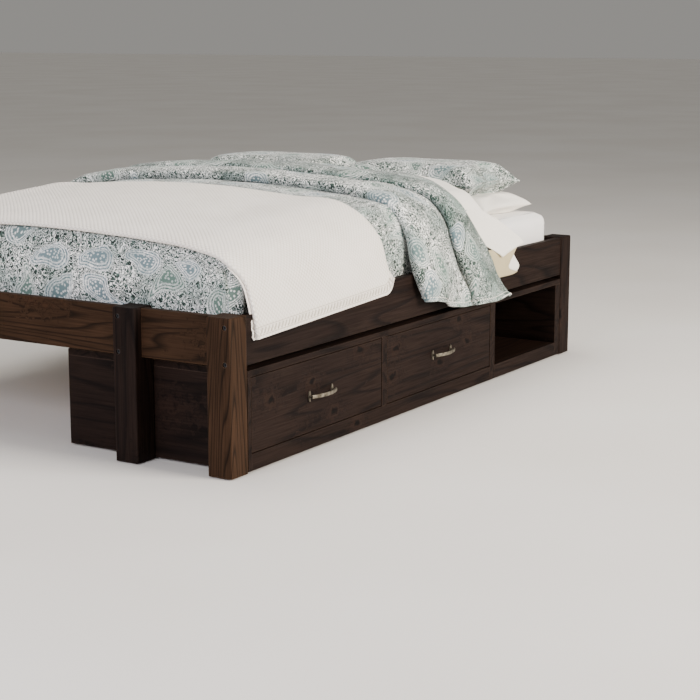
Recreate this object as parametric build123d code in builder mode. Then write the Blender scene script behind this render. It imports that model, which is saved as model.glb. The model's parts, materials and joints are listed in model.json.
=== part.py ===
from build123d import *
import os

# Bed with a roll-out under-bed unit: two drawers and an open cubby.
# Millimetres. X runs along the bed from foot to head, Y from front to back, Z up.
# The origin is on the floor under the middle of the bed.

# Mattress
mattress_length = 1905.0
mattress_width = 1372.0
mattress_side_height = 150.0
mattress_crown = 12.0
mattress_edge_radius = 38.0
mattress_end_spare = 1.2
mattress_side_spare = 7.7

# Posts
post_size = 76.0
post_height = 425.0
post_ease = 5.0
block_post_gap = 233.0
glide_thickness = 3.0
glide_diameter = 50.0

# Rails
rail_height = 132.0
rail_below_post_top = 3.0
side_rail_thickness = 25.0
side_rail_recess = 5.0
end_rail_thickness = 25.0
end_rail_recess = 28.0
rail_ease = 2.5
tenon_length = 12.0
tenon_shoulder = 7.0

# Bolts and barrel nuts
bolt_diameter = 8.0
bolt_head_diameter = 13.0
bolt_head_height = 8.0
bolt_recess_diameter = 14.0
bolt_recess_depth = 12.0
bolt_past_nut = 14.0
bolt_socket_width = 6.0
bolt_socket_depth = 4.0
bolt_from_rail_top = 22.0
bolt_from_rail_bottom = 14.0
nut_diameter = 12.0
nut_length = 18.0
nut_from_rail_end = 48.0
fit = 0.2

# Slats, cleats and middle beam
slat_count = 13
slat_width = 70.0
slat_thickness = 19.0
slat_end_gap = 2.0
slat_first_from_post = 60.0
cleat_size = 25.0
cleat_end_gap = 6.0
deck_below_rail_top = 59.0
beam_thickness = 25.0
bracket_plate = 5.0
bracket_width = 58.0
bracket_shelf = 4.0
bracket_reach = 45.0
bracket_cheek = 3.0
bracket_cheek_height = 52.0
bracket_top_margin = 8.0

# Under-bed unit
unit_below_rail = 14.0
unit_depth = 610.0
unit_recess = 2.0
unit_side_gap = 3.0
unit_floor_gap = 5.0
unit_top_thickness = 18.0
left_panel_thickness = 16.0
divider_thickness = 30.0
inner_panel_thickness = 17.0
right_panel_thickness = 36.0
bay_width = 669.0
bottom_rail_height = 46.0
bottom_rail_thickness = 18.0
bottom_thickness = 12.0
back_thickness = 9.0
edge_ease = 1.5

# Drawers
drawer_reveal = 2.5
drawer_front_thickness = 19.0
drawer_front_recess = 1.0
drawer_side_thickness = 12.0
drawer_side_below_front = 40.0
drawer_side_lift = 14.0
drawer_back_gap = 41.0
drawer_bottom_thickness = 6.0
drawer_bottom_lift = 9.0
drawer_groove = 5.0
slide_space = 13.0
slide_shorter = 40.0
slide_height = 36.0
slide_depth = 11.0
slide_wall = 1.5
slide_clearance = 0.3

# Pulls
pull_centres = 115.0
pull_plate_width = 10.0
pull_plate_height = 31.0
pull_plate_thickness = 3.0
pull_neck_diameter = 8.0
pull_neck_length = 10.0
pull_bow = 13.0
pull_grip_height = 11.0
pull_grip_thickness = 5.0
pull_grip_round = 2.2
pull_screw_diameter = 4.0
pull_screw_head = 8.0
pull_screw_head_height = 3.0
pull_screw_bite = 8.0

# Casters
wheel_top_gap = 3.3
wheel_width = 16.0
wheel_round = 2.0
wheel_floor_gap = 0.3
wheel_side_gap = 1.0
axle_diameter = 6.0
axle_head = 1.5
axle_clearance = 0.15
fork_wall = 2.5
fork_length = 34.0
fork_below_axle = 7.0
fork_plate_thickness = 3.0
fork_plate_length = 56.0
fork_plate_width = 44.0
caster_from_end = 130.0
caster_from_face = 75.0

# Bedding
cloth_gap = 0.3
tuck_thickness = 11.0
tuck_above_bracket = 2.0
pile_shoulder_run = 107.0
pile_shoulder_lift = 48.0
pile_foot_places = (0.0, 14.0, 45.0, 110.0, 350.0)
pile_foot_heights = (25.0, 50.0, 64.0, 70.0, 92.0)
pile_foot_crowns = (25.0, 27.0, 31.0, 33.0, 37.0)
pile_height = 115.0
pile_crown = 40.0
pile_head_places = (60.0, 120.0, 165.0, 190.0, 200.0)
pile_head_heights = (114.0, 106.0, 86.0, 52.0, 26.0)
pile_head_crowns = (40.0, 38.0, 34.0, 26.0, 20.0)
comforter_from_pillow = 209.5
fold_from_coverlet = 66.0
fold_left_level = 138.0
fold_right_level = 78.0
fold_hem_shift = 122.0
fold_hem_past_end = 188.0
fold_above_unit = 8.0
fold_margin = 10.0
fold_stations = (0.0, 0.22, 0.38, 0.62, 1.0)
fold_puff = (10.0, 28.0, 16.0, 31.0, 12.0)
fold_hem_lift = (56.0, 40.0, 30.0, 12.0, 14.0)
fold_sink = 1.0
fold_thickness = 6.0
fold_side_share = 0.55
fold_flare = 18.0
hang_clearance = 1.0
hang_shoulder = 10.0
coverlet_start = 34.0
coverlet_end = 716.0
coverlet_thickness = 6.0
coverlet_hang_clearance = 8.0
coverlet_flare = 7.0
coverlet_hang_foot = 66.0
coverlet_hang_head = 34.0
coverlet_corner_radius = 40.0
sheet_thickness = 3.0
sheet_width = 208.0
sheet_edge_level = 138.0
sheet_tip_reach = 307.0
sheet_tip_level = 22.0
sheet_corner_reach = 288.0
sheet_hang = 64.0
sheet_end_height = 18.0
sheet_end_crown = 14.0
pillow_depth = 410.0
pillow_length = 600.0
pillow_height = 150.0
pillow_edge = 24.0
pillow_draw_in = 20.0
pillow_lens_margin = 2.0
pillow_sink = 15.0
pillow_from_head = 8.0
pillow_from_middle = 8.0

# Places worked out from the sizes above
tuck_outer = cloth_gap + tuck_thickness
post_inner = mattress_length / 2 + tuck_outer + mattress_end_spare
half_length = post_inner + post_size
rail_inner = mattress_width / 2 + tuck_outer + mattress_side_spare
rail_face = rail_inner + side_rail_thickness
half_depth = rail_face + side_rail_recess
rail_top = post_height - rail_below_post_top
rail_bottom = rail_top - rail_height
bolt_reach = nut_from_rail_end + bolt_past_nut
bolt_heights = (rail_bottom + bolt_from_rail_bottom, rail_top - bolt_from_rail_top)
deck = rail_top - deck_below_rail_top
slat_bottom = deck - slat_thickness
mattress_top = deck + mattress_side_height
end_rail_outer = half_length - end_rail_recess
end_rail_inner = end_rail_outer - end_rail_thickness
block_front = -half_depth + post_size + block_post_gap
block_back = block_front + post_size
beam_y = block_back - side_rail_recess - side_rail_thickness / 2
beam_bottom = rail_bottom + bracket_shelf
plate_top = bolt_heights[1] + bracket_top_margin

unit_height = rail_bottom - unit_below_rail
unit_front = -half_depth + unit_recess
unit_back = unit_front + unit_depth
unit_left = -post_inner + unit_side_gap
unit_right = post_inner - unit_side_gap
board_top = unit_height - unit_top_thickness
unit_floor = unit_floor_gap + bottom_rail_height
bay_left_start = unit_left + left_panel_thickness
bay_left_end = bay_left_start + bay_width
bay_right_start = bay_left_end + divider_thickness
bay_right_end = bay_right_start + bay_width
cubby_start = bay_right_end + 2 * inner_panel_thickness
cubby_end = unit_right - right_panel_thickness
back_face = unit_back - back_thickness
bays = {"left_drawer": (bay_left_start, bay_left_end), "right_drawer": (bay_right_start, bay_right_end)}

drawer_face = unit_front + drawer_front_recess
drawer_box_front = drawer_face + drawer_front_thickness
drawer_box_back = back_face - drawer_back_gap
drawer_low = unit_floor + drawer_reveal
drawer_high = board_top - drawer_reveal
drawer_side_low = drawer_low + drawer_side_lift
drawer_side_high = drawer_high - drawer_side_below_front
drawer_bottom_low = drawer_side_low + drawer_bottom_lift
drawer_bottom_high = drawer_bottom_low + drawer_bottom_thickness
slide_middle = (drawer_side_low + drawer_side_high) / 2
pull_height = (drawer_low + drawer_high) / 2

fork_top = unit_floor - bottom_thickness
wheel_diameter = fork_top - fork_plate_thickness - wheel_top_gap - wheel_floor_gap
axle_height = wheel_diameter / 2 + wheel_floor_gap
caster_spots = {
    "front_left": (unit_left + caster_from_end, unit_front + caster_from_face),
    "front_right": (unit_right - caster_from_end, unit_front + caster_from_face),
    "back_left": (unit_left + caster_from_end, unit_back - caster_from_face),
    "back_right": (unit_right - caster_from_end, unit_back - caster_from_face),
}

os.makedirs("parts", exist_ok=True)


def save(piece, name):
    piece.part.label = name
    export_step(piece.part, f"parts/{name}.step")


# A box between two corners, given as low and high along each axis
def block(x, y, z, mode=Mode.ADD):
    with Locations(((x[0] + x[1]) / 2, (y[0] + y[1]) / 2, (z[0] + z[1]) / 2)):
        Box(abs(x[1] - x[0]), abs(y[1] - y[0]), abs(z[1] - z[0]), mode=mode)


# A rod along X between two places
def rod_x(x, y, z, diameter, mode=Mode.ADD):
    with Locations(Location(((x[0] + x[1]) / 2, y, z), (0, 90, 0))):
        Cylinder(diameter / 2, abs(x[1] - x[0]), mode=mode)


# A rod along Y between two places
def rod_y(x, y, z, diameter, mode=Mode.ADD):
    with Locations(Location((x, (y[0] + y[1]) / 2, z), (90, 0, 0))):
        Cylinder(diameter / 2, abs(y[1] - y[0]), mode=mode)


# Low and high of a stretch that lies on one side of the middle plane
def on_side(side, inner, outer):
    return (side * inner, side * outer)


# Posts: eased block, bolt holes along X and a mortise for each end rail that meets it
def post(name, end, y, bolt_y, mortises):
    with BuildPart() as piece:
        block(on_side(end, post_inner, half_length), y, (glide_thickness, post_height))
        fillet(piece.edges().filter_by(Axis.Z), post_ease)
        fillet(piece.faces().sort_by(Axis.Z)[-1].edges(), post_ease)
        for z in bolt_heights:
            recess = on_side(end, half_length - bolt_recess_depth, half_length)
            rod_x(on_side(end, post_inner, half_length), bolt_y, z, bolt_diameter + 2 * fit, Mode.SUBTRACT)
            rod_x(recess, bolt_y, z, bolt_recess_diameter, Mode.SUBTRACT)
        for face, inward in mortises:
            block(
                on_side(end, end_rail_inner + tenon_shoulder, end_rail_outer - tenon_shoulder),
                (face, face + inward * tenon_length),
                (rail_bottom + tenon_shoulder, rail_top - tenon_shoulder),
                Mode.SUBTRACT,
            )
    save(piece, name)


# End rail with a stub tenon at each end
def end_rail(name, end, y):
    with BuildPart() as piece:
        block(on_side(end, end_rail_inner, end_rail_outer), y, (rail_bottom, rail_top))
        fillet(piece.edges().filter_by(Axis.Y), rail_ease)
        block(
            on_side(end, end_rail_inner + tenon_shoulder, end_rail_outer - tenon_shoulder),
            (y[0] - tenon_length, y[1] + tenon_length),
            (rail_bottom + tenon_shoulder, rail_top - tenon_shoulder),
        )
    save(piece, name)


rail_middle = rail_inner + side_rail_thickness / 2
front_post = (-half_depth, -half_depth + post_size)
back_post = (half_depth - post_size, half_depth)
for end_name, end in (("left", -1), ("right", 1)):
    post(f"post_front_{end_name}", end, front_post, -rail_middle, [(front_post[1], -1)])
    post(f"post_back_{end_name}", end, back_post, rail_middle, [(back_post[0], 1)])
    block_mortises = [(block_front, 1), (block_back, -1)]
    post(f"block_post_{end_name}", end, (block_front, block_back), beam_y, block_mortises)
    end_rail(f"{end_name}_end_rail_front", end, (front_post[1], block_front))
    end_rail(f"{end_name}_end_rail_back", end, (block_back, back_post[0]))

# Glides under the six posts
with BuildPart() as post_glides:
    for end in (-1, 1):
        for y in (front_post, (block_front, block_back), back_post):
            with Locations((end * (post_inner + post_size / 2), (y[0] + y[1]) / 2, glide_thickness / 2)):
                Cylinder(glide_diameter / 2, glide_thickness)
save(post_glides, "post_glides")

# Side rails with bolt holes in their ends and barrel-nut holes from inside
for side_name, side in (("front", -1), ("back", 1)):
    with BuildPart() as side_rail:
        block((-post_inner, post_inner), on_side(side, rail_inner, rail_face), (rail_bottom, rail_top))
        fillet(side_rail.edges().filter_by(Axis.X), rail_ease)
        for end in (-1, 1):
            for z in bolt_heights:
                hole = on_side(end, post_inner - bolt_reach - bolt_head_height, post_inner)
                rod_x(hole, side * rail_middle, z, bolt_diameter + 2 * fit, Mode.SUBTRACT)
                nut_hole = on_side(side, rail_inner, rail_middle + nut_length / 2)
                nut_x = end * (post_inner - nut_from_rail_end)
                rod_y(nut_x, nut_hole, z, nut_diameter + 2 * fit, Mode.SUBTRACT)
    save(side_rail, f"{side_name}_side_rail")

    with BuildPart() as cleat:
        cleat_x = (-post_inner + cleat_end_gap, post_inner - cleat_end_gap)
        cleat_y = on_side(side, rail_inner - cleat_size, rail_inner)
        block(cleat_x, cleat_y, (slat_bottom - cleat_size, slat_bottom))
    save(cleat, f"{side_name}_cleat")

# Middle beam between the block posts, held by the lower bolts
beam_end = post_inner - bracket_plate
with BuildPart() as middle_beam:
    beam_run = (beam_y - beam_thickness / 2, beam_y + beam_thickness / 2)
    block((-beam_end, beam_end), beam_run, (beam_bottom, slat_bottom))
    for end in (-1, 1):
        hole = on_side(end, post_inner - bolt_reach - bolt_head_height, beam_end)
        rod_x(hole, beam_y, bolt_heights[0], bolt_diameter + 2 * fit, Mode.SUBTRACT)
        nut_hole = (beam_y - nut_length / 2, beam_y + beam_thickness / 2)
        nut_x = end * (post_inner - nut_from_rail_end)
        rod_y(nut_x, nut_hole, bolt_heights[0], nut_diameter + 2 * fit, Mode.SUBTRACT)
save(middle_beam, "middle_beam")

# Steel brackets that carry the beam's ends: plate, shelf and two cheeks
cheek_inner = beam_thickness / 2 + fit
with BuildPart() as beam_brackets:
    for end in (-1, 1):
        plate_y = (beam_y - bracket_width / 2, beam_y + bracket_width / 2)
        plate_x = on_side(end, beam_end, post_inner)
        shelf_x = on_side(end, beam_end - bracket_reach, beam_end)
        block(plate_x, plate_y, (rail_bottom, plate_top))
        cheek_outer = cheek_inner + bracket_cheek
        block(shelf_x, (beam_y - cheek_outer, beam_y + cheek_outer), (rail_bottom, beam_bottom))
        for side in (-1, 1):
            cheek_y = (beam_y + side * cheek_inner, beam_y + side * cheek_outer)
            block(shelf_x, cheek_y, (rail_bottom, rail_bottom + bracket_cheek_height))
            nut_x = end * (post_inner - nut_from_rail_end)
            rod_y(nut_x, cheek_y, bolt_heights[0], nut_diameter + 2 * fit, Mode.SUBTRACT)
        for z in bolt_heights:
            rod_x(plate_x, beam_y, z, bolt_diameter + 2 * fit, Mode.SUBTRACT)
save(beam_brackets, "beam_brackets")


# Bolt with a round head and a square driving socket, pointing inwards along X
def bolt(end, y, z, tip):
    seat = half_length - bolt_recess_depth
    head = seat + bolt_head_height
    rod_x(on_side(end, seat, head), y, z, bolt_head_diameter)
    rod_x(on_side(end, tip, seat), y, z, bolt_diameter)
    half = bolt_socket_width / 2
    socket = on_side(end, head - bolt_socket_depth, head)
    block(socket, (y - half, y + half), (z - half, z + half), Mode.SUBTRACT)


bolt_tip = post_inner - bolt_reach
with BuildPart() as bed_bolts:
    for end in (-1, 1):
        for y in (-rail_middle, rail_middle):
            for z in bolt_heights:
                bolt(end, y, z, bolt_tip)
        bolt(end, beam_y, bolt_heights[0], bolt_tip)
        bolt(end, beam_y, bolt_heights[1], beam_end)
save(bed_bolts, "bed_bolts")

# Barrel nuts in the rails and the beam
with BuildPart() as barrel_nuts:
    for end in (-1, 1):
        nut_x = end * (post_inner - nut_from_rail_end)
        places = [(y, z) for y in (-rail_middle, rail_middle) for z in bolt_heights]
        for y, z in places + [(beam_y, bolt_heights[0])]:
            rod_y(nut_x, (y - nut_length / 2, y + nut_length / 2), z, nut_diameter)
            through = (nut_x - nut_diameter, nut_x + nut_diameter)
            rod_x(through, y, z, bolt_diameter + 2 * fit, Mode.SUBTRACT)
save(barrel_nuts, "barrel_nuts")

# Slats across the cleats and the beam
slat_span = post_inner - slat_first_from_post - slat_width / 2
with BuildPart() as bed_slats:
    for number in range(slat_count):
        slat_x = -slat_span + 2 * slat_span * number / (slat_count - 1)
        slat_half = rail_inner - slat_end_gap
        slat_run = (slat_x - slat_width / 2, slat_x + slat_width / 2)
        block(slat_run, (-slat_half, slat_half), (slat_bottom, deck))
save(bed_slats, "bed_slats")


# Upper outline of the bed across its width, grown outwards: side, rounded edge, crown, edge, side
def crown_points(grow):
    half = mattress_width / 2 + grow
    radius = mattress_edge_radius + grow
    edge = mattress_top + grow
    slope = radius / 2**0.5
    left = [(-half, edge - radius), (-half + radius - slope, edge - radius + slope), (-half + radius, edge)]
    right = [(-y, z) for y, z in reversed(left)]
    return left, (0, edge + mattress_crown), right


def crown_line(grow):
    left, middle, right = crown_points(grow)
    ThreePointArc(*left)
    ThreePointArc(left[2], middle, right[0])
    ThreePointArc(*right)
    return left[0], right[2]


# Filled section with straight sides down to a level
def crowned_section(place, grow, low):
    with BuildSketch(Plane.YZ.offset(place)) as section:
        with BuildLine():
            start, end = crown_line(grow)
            Polyline(start, (start[0], low), (end[0], low), end)
        make_face()
    return section.sketch


# Upper outline of the heaped bedding across its width: side, wide rounded shoulder, crown, shoulder, side
def pile_line(height, crown, grow):
    side = mattress_width / 2 + tuck_outer
    inner = side - pile_shoulder_run
    low = rail_top + pile_shoulder_lift
    top = mattress_top + height + grow
    turn = 0.5**0.5
    bend = (-inner - (pile_shoulder_run + grow) * turn, low + (top - low) * turn)
    left = [(-side - grow, low), bend, (-inner, top)]
    right = [(-y, z) for y, z in reversed(left)]
    ThreePointArc(*left)
    ThreePointArc(left[2], (0, top + crown), right[0])
    ThreePointArc(*right)
    return left[0], right[2]


# Filled section of the heap with straight sides down to a level
def pile_section(place, height, crown, low):
    with BuildSketch(Plane.YZ.offset(place)) as section:
        with BuildLine():
            start, end = pile_line(height, crown, 0)
            Polyline(start, (start[0], low), (end[0], low), end)
        make_face()
    return section.sketch


# Filled section whose sides lead out over the rails and hang down to a level, flaring outwards
def draped_section(place, height, crown, grow, out, flare, low):
    shoulder = rail_top + hang_shoulder
    with BuildSketch(Plane.YZ.offset(place)) as section:
        with BuildLine():
            start, end = pile_line(height, crown, grow)
            hem = out + flare
            left_side = [(-out, shoulder), (-hem, rail_bottom), (-hem, low)]
            right_side = [(-y, z) for y, z in reversed(left_side)]
            Polyline(start, *left_side, *right_side, end)
        make_face()
    return section.sketch


# Thin section of one station of the turned-back comforter, between two outlines
def fold_section(place, height, crown, puff, low):
    shoulder = rail_top + hang_shoulder
    with BuildSketch(Plane.YZ.offset(place)) as section:
        with BuildLine():
            outer_start, outer_end = pile_line(height, crown, puff)
            inner_start, inner_end = pile_line(height, crown, -fold_sink)
            near = rail_face + hang_clearance
            out = near + fold_thickness + fold_side_share * puff
            for side, outer_top, inner_top in ((-1, outer_start, inner_start), (1, outer_end, inner_end)):
                Polyline(
                    outer_top,
                    (side * out, shoulder),
                    (side * (out + fold_flare), low),
                    (side * near, low),
                    (side * near, shoulder),
                    inner_top,
                )
        make_face()
    return section.sketch


# Mattress
mattress_foot = -mattress_length / 2
with BuildPart() as mattress:
    extrude(crowned_section(mattress_foot, 0, deck), amount=mattress_length)
    fillet(mattress.edges().filter_by(Axis.Z), mattress_edge_radius / 2)
save(mattress, "mattress")

# Heaped bedding from foot to head: place, height above the mattress edge, crown
tuck_low = plate_top + tuck_above_bracket
comforter_foot = mattress_foot - tuck_outer
pillow_foot = mattress_length / 2 - pillow_from_head - pillow_depth
comforter_stop = pillow_foot - comforter_from_pillow
coverlet_x = (-post_inner + coverlet_start, -post_inner + coverlet_end)
foot_shape = zip(pile_foot_places, pile_foot_heights, pile_foot_crowns)
head_shape = zip(pile_head_places, pile_head_heights, pile_head_crowns)
pile_stations = [(comforter_foot + place, height, crown) for place, height, crown in foot_shape]
pile_stations.append((coverlet_x[1], pile_height, pile_crown))
pile_stations.append((comforter_stop, pile_height, pile_crown))
pile_stations += [(comforter_stop + place, height, crown) for place, height, crown in head_shape]


# Height and crown of the heap at a place, straight between its stations
def pile_at(place):
    for before, after in zip(pile_stations, pile_stations[1:]):
        if before[0] <= place <= after[0]:
            share = (place - before[0]) / (after[0] - before[0])
            return tuple(first + share * (last - first) for first, last in zip(before[1:], after[1:]))


# Comforter: tucked heap over the foot and sides, with the turned-back folds on top of it
fold_start = coverlet_x[1] + fold_from_coverlet
fold_hem_start = fold_start + fold_hem_shift
fold_hem_end = comforter_stop + fold_hem_past_end
fold_hem = unit_height + fold_above_unit
fold_run = fold_hem_end - fold_start + 2 * fold_margin
hem_reach = 2 * half_depth
with BuildPart() as comforter:
    folds = []
    for share, puff, lift in zip(fold_stations, fold_puff, fold_hem_lift):
        place = fold_start - fold_margin + share * fold_run
        folds.append(fold_section(place, pile_height, pile_crown, puff, fold_hem + lift))
    loft(folds)
    with BuildSketch(Plane.XZ.offset(-hem_reach)):
        with BuildLine():
            fold_top = mattress_top + hem_reach
            Polyline(
                (fold_start, fold_top),
                (fold_start, rail_top + fold_left_level),
                (fold_hem_start, fold_hem),
                (fold_hem_start, 0),
                (fold_hem_end, 0),
                (fold_hem_end, fold_hem),
                (comforter_stop, rail_top + fold_right_level),
                (comforter_stop, fold_top),
                close=True,
            )
        make_face()
    extrude(amount=2 * hem_reach, mode=Mode.INTERSECT)
    loft([pile_section(place, height, crown, tuck_low) for place, height, crown in pile_stations], ruled=True)
    hollow = crowned_section(mattress_foot - cloth_gap, cloth_gap, 0)
    extrude(hollow, amount=mattress_length, mode=Mode.SUBTRACT)
save(comforter, "comforter")

# Coverlet across the foot half, hanging over both sides
coverlet_near = rail_face + coverlet_hang_clearance
coverlet_places = [coverlet_x[0]]
coverlet_places += [station[0] for station in pile_stations if coverlet_x[0] < station[0] <= coverlet_x[1]]
with BuildPart() as coverlet:
    outsides = []
    insides = []
    for place in coverlet_places:
        height, crown = pile_at(place)
        outer = cloth_gap + coverlet_thickness
        out = coverlet_near + coverlet_thickness
        outsides.append(draped_section(place, height, crown, outer, out, coverlet_flare, rail_bottom / 2))
        insides.append(draped_section(place, height, crown, cloth_gap, coverlet_near, coverlet_flare, 0))
    loft(outsides, ruled=True)
    loft(insides, ruled=True, mode=Mode.SUBTRACT)
    with BuildSketch(Plane.XZ.offset(-hem_reach)) as coverlet_shape:
        with BuildLine():
            coverlet_ceiling = mattress_top + hem_reach
            Polyline(
                (coverlet_x[0], coverlet_ceiling),
                (coverlet_x[0], rail_top - coverlet_hang_foot),
                (coverlet_x[1], rail_top - coverlet_hang_head),
                (coverlet_x[1], coverlet_ceiling),
                close=True,
            )
        make_face()
        low_corners = coverlet_shape.vertices().sort_by(Axis.Z)[:2]
        fillet(low_corners.sort_by(Axis.X)[-1], coverlet_corner_radius)
    extrude(amount=2 * hem_reach, mode=Mode.INTERSECT)
save(coverlet, "coverlet")

# Flat sheet turned down over the head edge of the comforter, its ends hanging over the rails
sheet_start = comforter_stop + 2 * cloth_gap
sheet_end = comforter_stop + sheet_tip_reach + fold_margin
sheet_low = rail_top - sheet_hang
sheet_near = rail_face + hang_clearance
fold_slant = fold_hem_past_end / (rail_top + fold_right_level - fold_hem)
sheet_shift = fold_slant * (fold_right_level + sheet_hang)
sheet_stations = [(sheet_start, *pile_at(sheet_start))]
sheet_stations += [station for station in pile_stations if station[0] > sheet_start]
sheet_stations.append((sheet_end, sheet_end_height, sheet_end_crown))
with BuildPart() as flat_sheet:
    outsides = []
    insides = []
    for place, height, crown in sheet_stations:
        outer = cloth_gap + sheet_thickness
        out = sheet_near + sheet_thickness
        outsides.append(draped_section(place, height, crown, outer, out, 0, rail_bottom / 2))
        insides.append(draped_section(place, height, crown, cloth_gap, sheet_near, 0, 0))
    loft(outsides, ruled=True)
    loft(insides, ruled=True, mode=Mode.SUBTRACT)
    with BuildSketch(Plane.XZ.offset(-hem_reach)):
        with BuildLine():
            Polyline(
                (sheet_start, mattress_top + hem_reach),
                (sheet_start, rail_top + fold_right_level),
                (sheet_start + sheet_shift, sheet_low),
                (comforter_stop + sheet_corner_reach, sheet_low),
                (comforter_stop + sheet_tip_reach, rail_top + sheet_tip_level),
                (comforter_stop + sheet_width, rail_top + sheet_edge_level),
                (comforter_stop + sheet_width, mattress_top + hem_reach),
                close=True,
            )
        make_face()
    extrude(amount=2 * hem_reach, mode=Mode.INTERSECT)
save(flat_sheet, "flat_sheet")


# Pillow: crowned both ways, sides drawn in between the corners, seated on the crowned mattress
def lens(plane, span):
    middle = pillow_height / 2
    with BuildSketch(plane) as lens_shape:
        with BuildLine():
            half = span / 2 + pillow_lens_margin
            thin = pillow_edge / 2
            ThreePointArc((-half, middle + thin), (0, pillow_height), (half, middle + thin))
            Line((half, middle + thin), (half, middle - thin))
            ThreePointArc((half, middle - thin), (0, 0), (-half, middle - thin))
            Line((-half, middle - thin), (-half, middle + thin))
        make_face()
    return lens_shape.sketch


pillow_x = pillow_foot + pillow_depth / 2
pillow_low = mattress_top + mattress_crown - pillow_sink
for pillow_name, side in (("front", -1), ("back", 1)):
    pillow_y = side * (pillow_from_middle + pillow_length / 2)
    with BuildPart() as pillow:
        outline_plane = Plane((pillow_x, pillow_y, pillow_low))
        with BuildSketch(outline_plane):
            with BuildLine():
                along = pillow_depth / 2
                across = pillow_length / 2
                ThreePointArc((-along, -across), (0, -across + pillow_draw_in), (along, -across))
                ThreePointArc((along, -across), (along - pillow_draw_in, 0), (along, across))
                ThreePointArc((along, across), (0, across - pillow_draw_in), (-along, across))
                ThreePointArc((-along, across), (-along + pillow_draw_in, 0), (-along, -across))
            make_face()
        extrude(amount=pillow_height)
        behind = Plane((pillow_x, pillow_y + pillow_length, pillow_low), (1, 0, 0), (0, -1, 0))
        extrude(lens(behind, pillow_depth), amount=2 * pillow_length, mode=Mode.INTERSECT)
        beside = Plane((pillow_x - pillow_depth, pillow_y, pillow_low), (0, 1, 0), (1, 0, 0))
        extrude(lens(beside, pillow_length), amount=2 * pillow_depth, mode=Mode.INTERSECT)
        bed_below = crowned_section(pillow_x - pillow_depth, cloth_gap, 0)
        extrude(bed_below, amount=2 * pillow_depth, mode=Mode.SUBTRACT)
    save(pillow, f"pillow_{pillow_name}")


# Plain board of the unit, front edges eased
def board(name, x, y, z):
    with BuildPart() as piece:
        block(x, y, z)
        front = piece.faces().sort_by(Axis.Y)[0]
        fillet(front.edges(), edge_ease)
    save(piece, name)


unit_run = (unit_front, unit_back)
inner_run = (unit_front, back_face)
standing = (unit_floor_gap, board_top)
board("unit_top", (unit_left, unit_right), unit_run, (board_top, unit_height))
board("unit_left_panel", (unit_left, bay_left_start), unit_run, standing)
board("unit_centre_divider", (bay_left_end, bay_right_start), inner_run, (unit_floor, board_top))
board("drawer_side_panel", (bay_right_end, bay_right_end + inner_panel_thickness), inner_run, standing)
board("cubby_side_panel", (bay_right_end + inner_panel_thickness, cubby_start), inner_run, standing)
board("unit_right_panel", (cubby_end, unit_right), unit_run, standing)

bottom_spans = ((bay_left_start, bay_right_end), (cubby_start, cubby_end))
rail_back = unit_front + bottom_rail_thickness
with BuildPart() as unit_bottoms:
    for span in bottom_spans:
        block(span, (rail_back, back_face), (fork_top, unit_floor))
save(unit_bottoms, "unit_bottoms")
board("drawer_bottom_rail", bottom_spans[0], (unit_front, rail_back), (unit_floor_gap, unit_floor))
board("cubby_bottom_rail", bottom_spans[1], (unit_front, rail_back), (unit_floor_gap, unit_floor))
with BuildPart() as unit_back_board:
    block((bay_left_start, cubby_end), (back_face, unit_back), (fork_top, board_top))
save(unit_back_board, "unit_back_board")


# One half of a drawer slide: an open channel on the cabinet, a bar on the drawer running inside it
slide_low = slide_middle - slide_height / 2
slide_high = slide_middle + slide_height / 2
slide_run = (drawer_box_front, drawer_box_back - slide_shorter)
with BuildPart() as cabinet_slides:
    for bay in bays.values():
        for wall, inward in ((bay[0], 1), (bay[1], -1)):
            block((wall, wall + inward * slide_depth), slide_run, (slide_low, slide_high))
            block(
                (wall + inward * slide_wall, wall + inward * slide_depth),
                slide_run,
                (slide_low + slide_wall, slide_high - slide_wall),
                Mode.SUBTRACT,
            )
save(cabinet_slides, "cabinet_slides")


# Bow pull: two leaf plates, a neck on each and a bowed grip between the necks
def bow_pull(name, x, face):
    with BuildPart() as piece:
        necks = face - pull_plate_thickness - pull_neck_length
        for side in (-1, 1):
            foot = x + side * pull_centres / 2
            with BuildSketch(Plane((foot, face, pull_height), (1, 0, 0), (0, -1, 0))):
                Ellipse(pull_plate_width / 2, pull_plate_height / 2)
            extrude(amount=pull_plate_thickness)
            rod_y(foot, (face - pull_plate_thickness, necks), pull_height, pull_neck_diameter)
        with BuildLine(Plane.XY.offset(pull_height)):
            grip = ThreePointArc(
                (x - pull_centres / 2 - pull_neck_diameter / 2, necks),
                (x, necks - pull_bow),
                (x + pull_centres / 2 + pull_neck_diameter / 2, necks),
            )
        with BuildSketch(Plane(origin=grip @ 0, x_dir=(0, 0, 1), z_dir=grip % 0)):
            RectangleRounded(pull_grip_height, pull_grip_thickness, pull_grip_round)
        sweep(path=grip)
        for side in (-1, 1):
            foot = x + side * pull_centres / 2
            hole = (face - pull_screw_bite, face)
            rod_y(foot, hole, pull_height, pull_screw_diameter + 2 * fit, Mode.SUBTRACT)
    save(piece, name)


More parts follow.
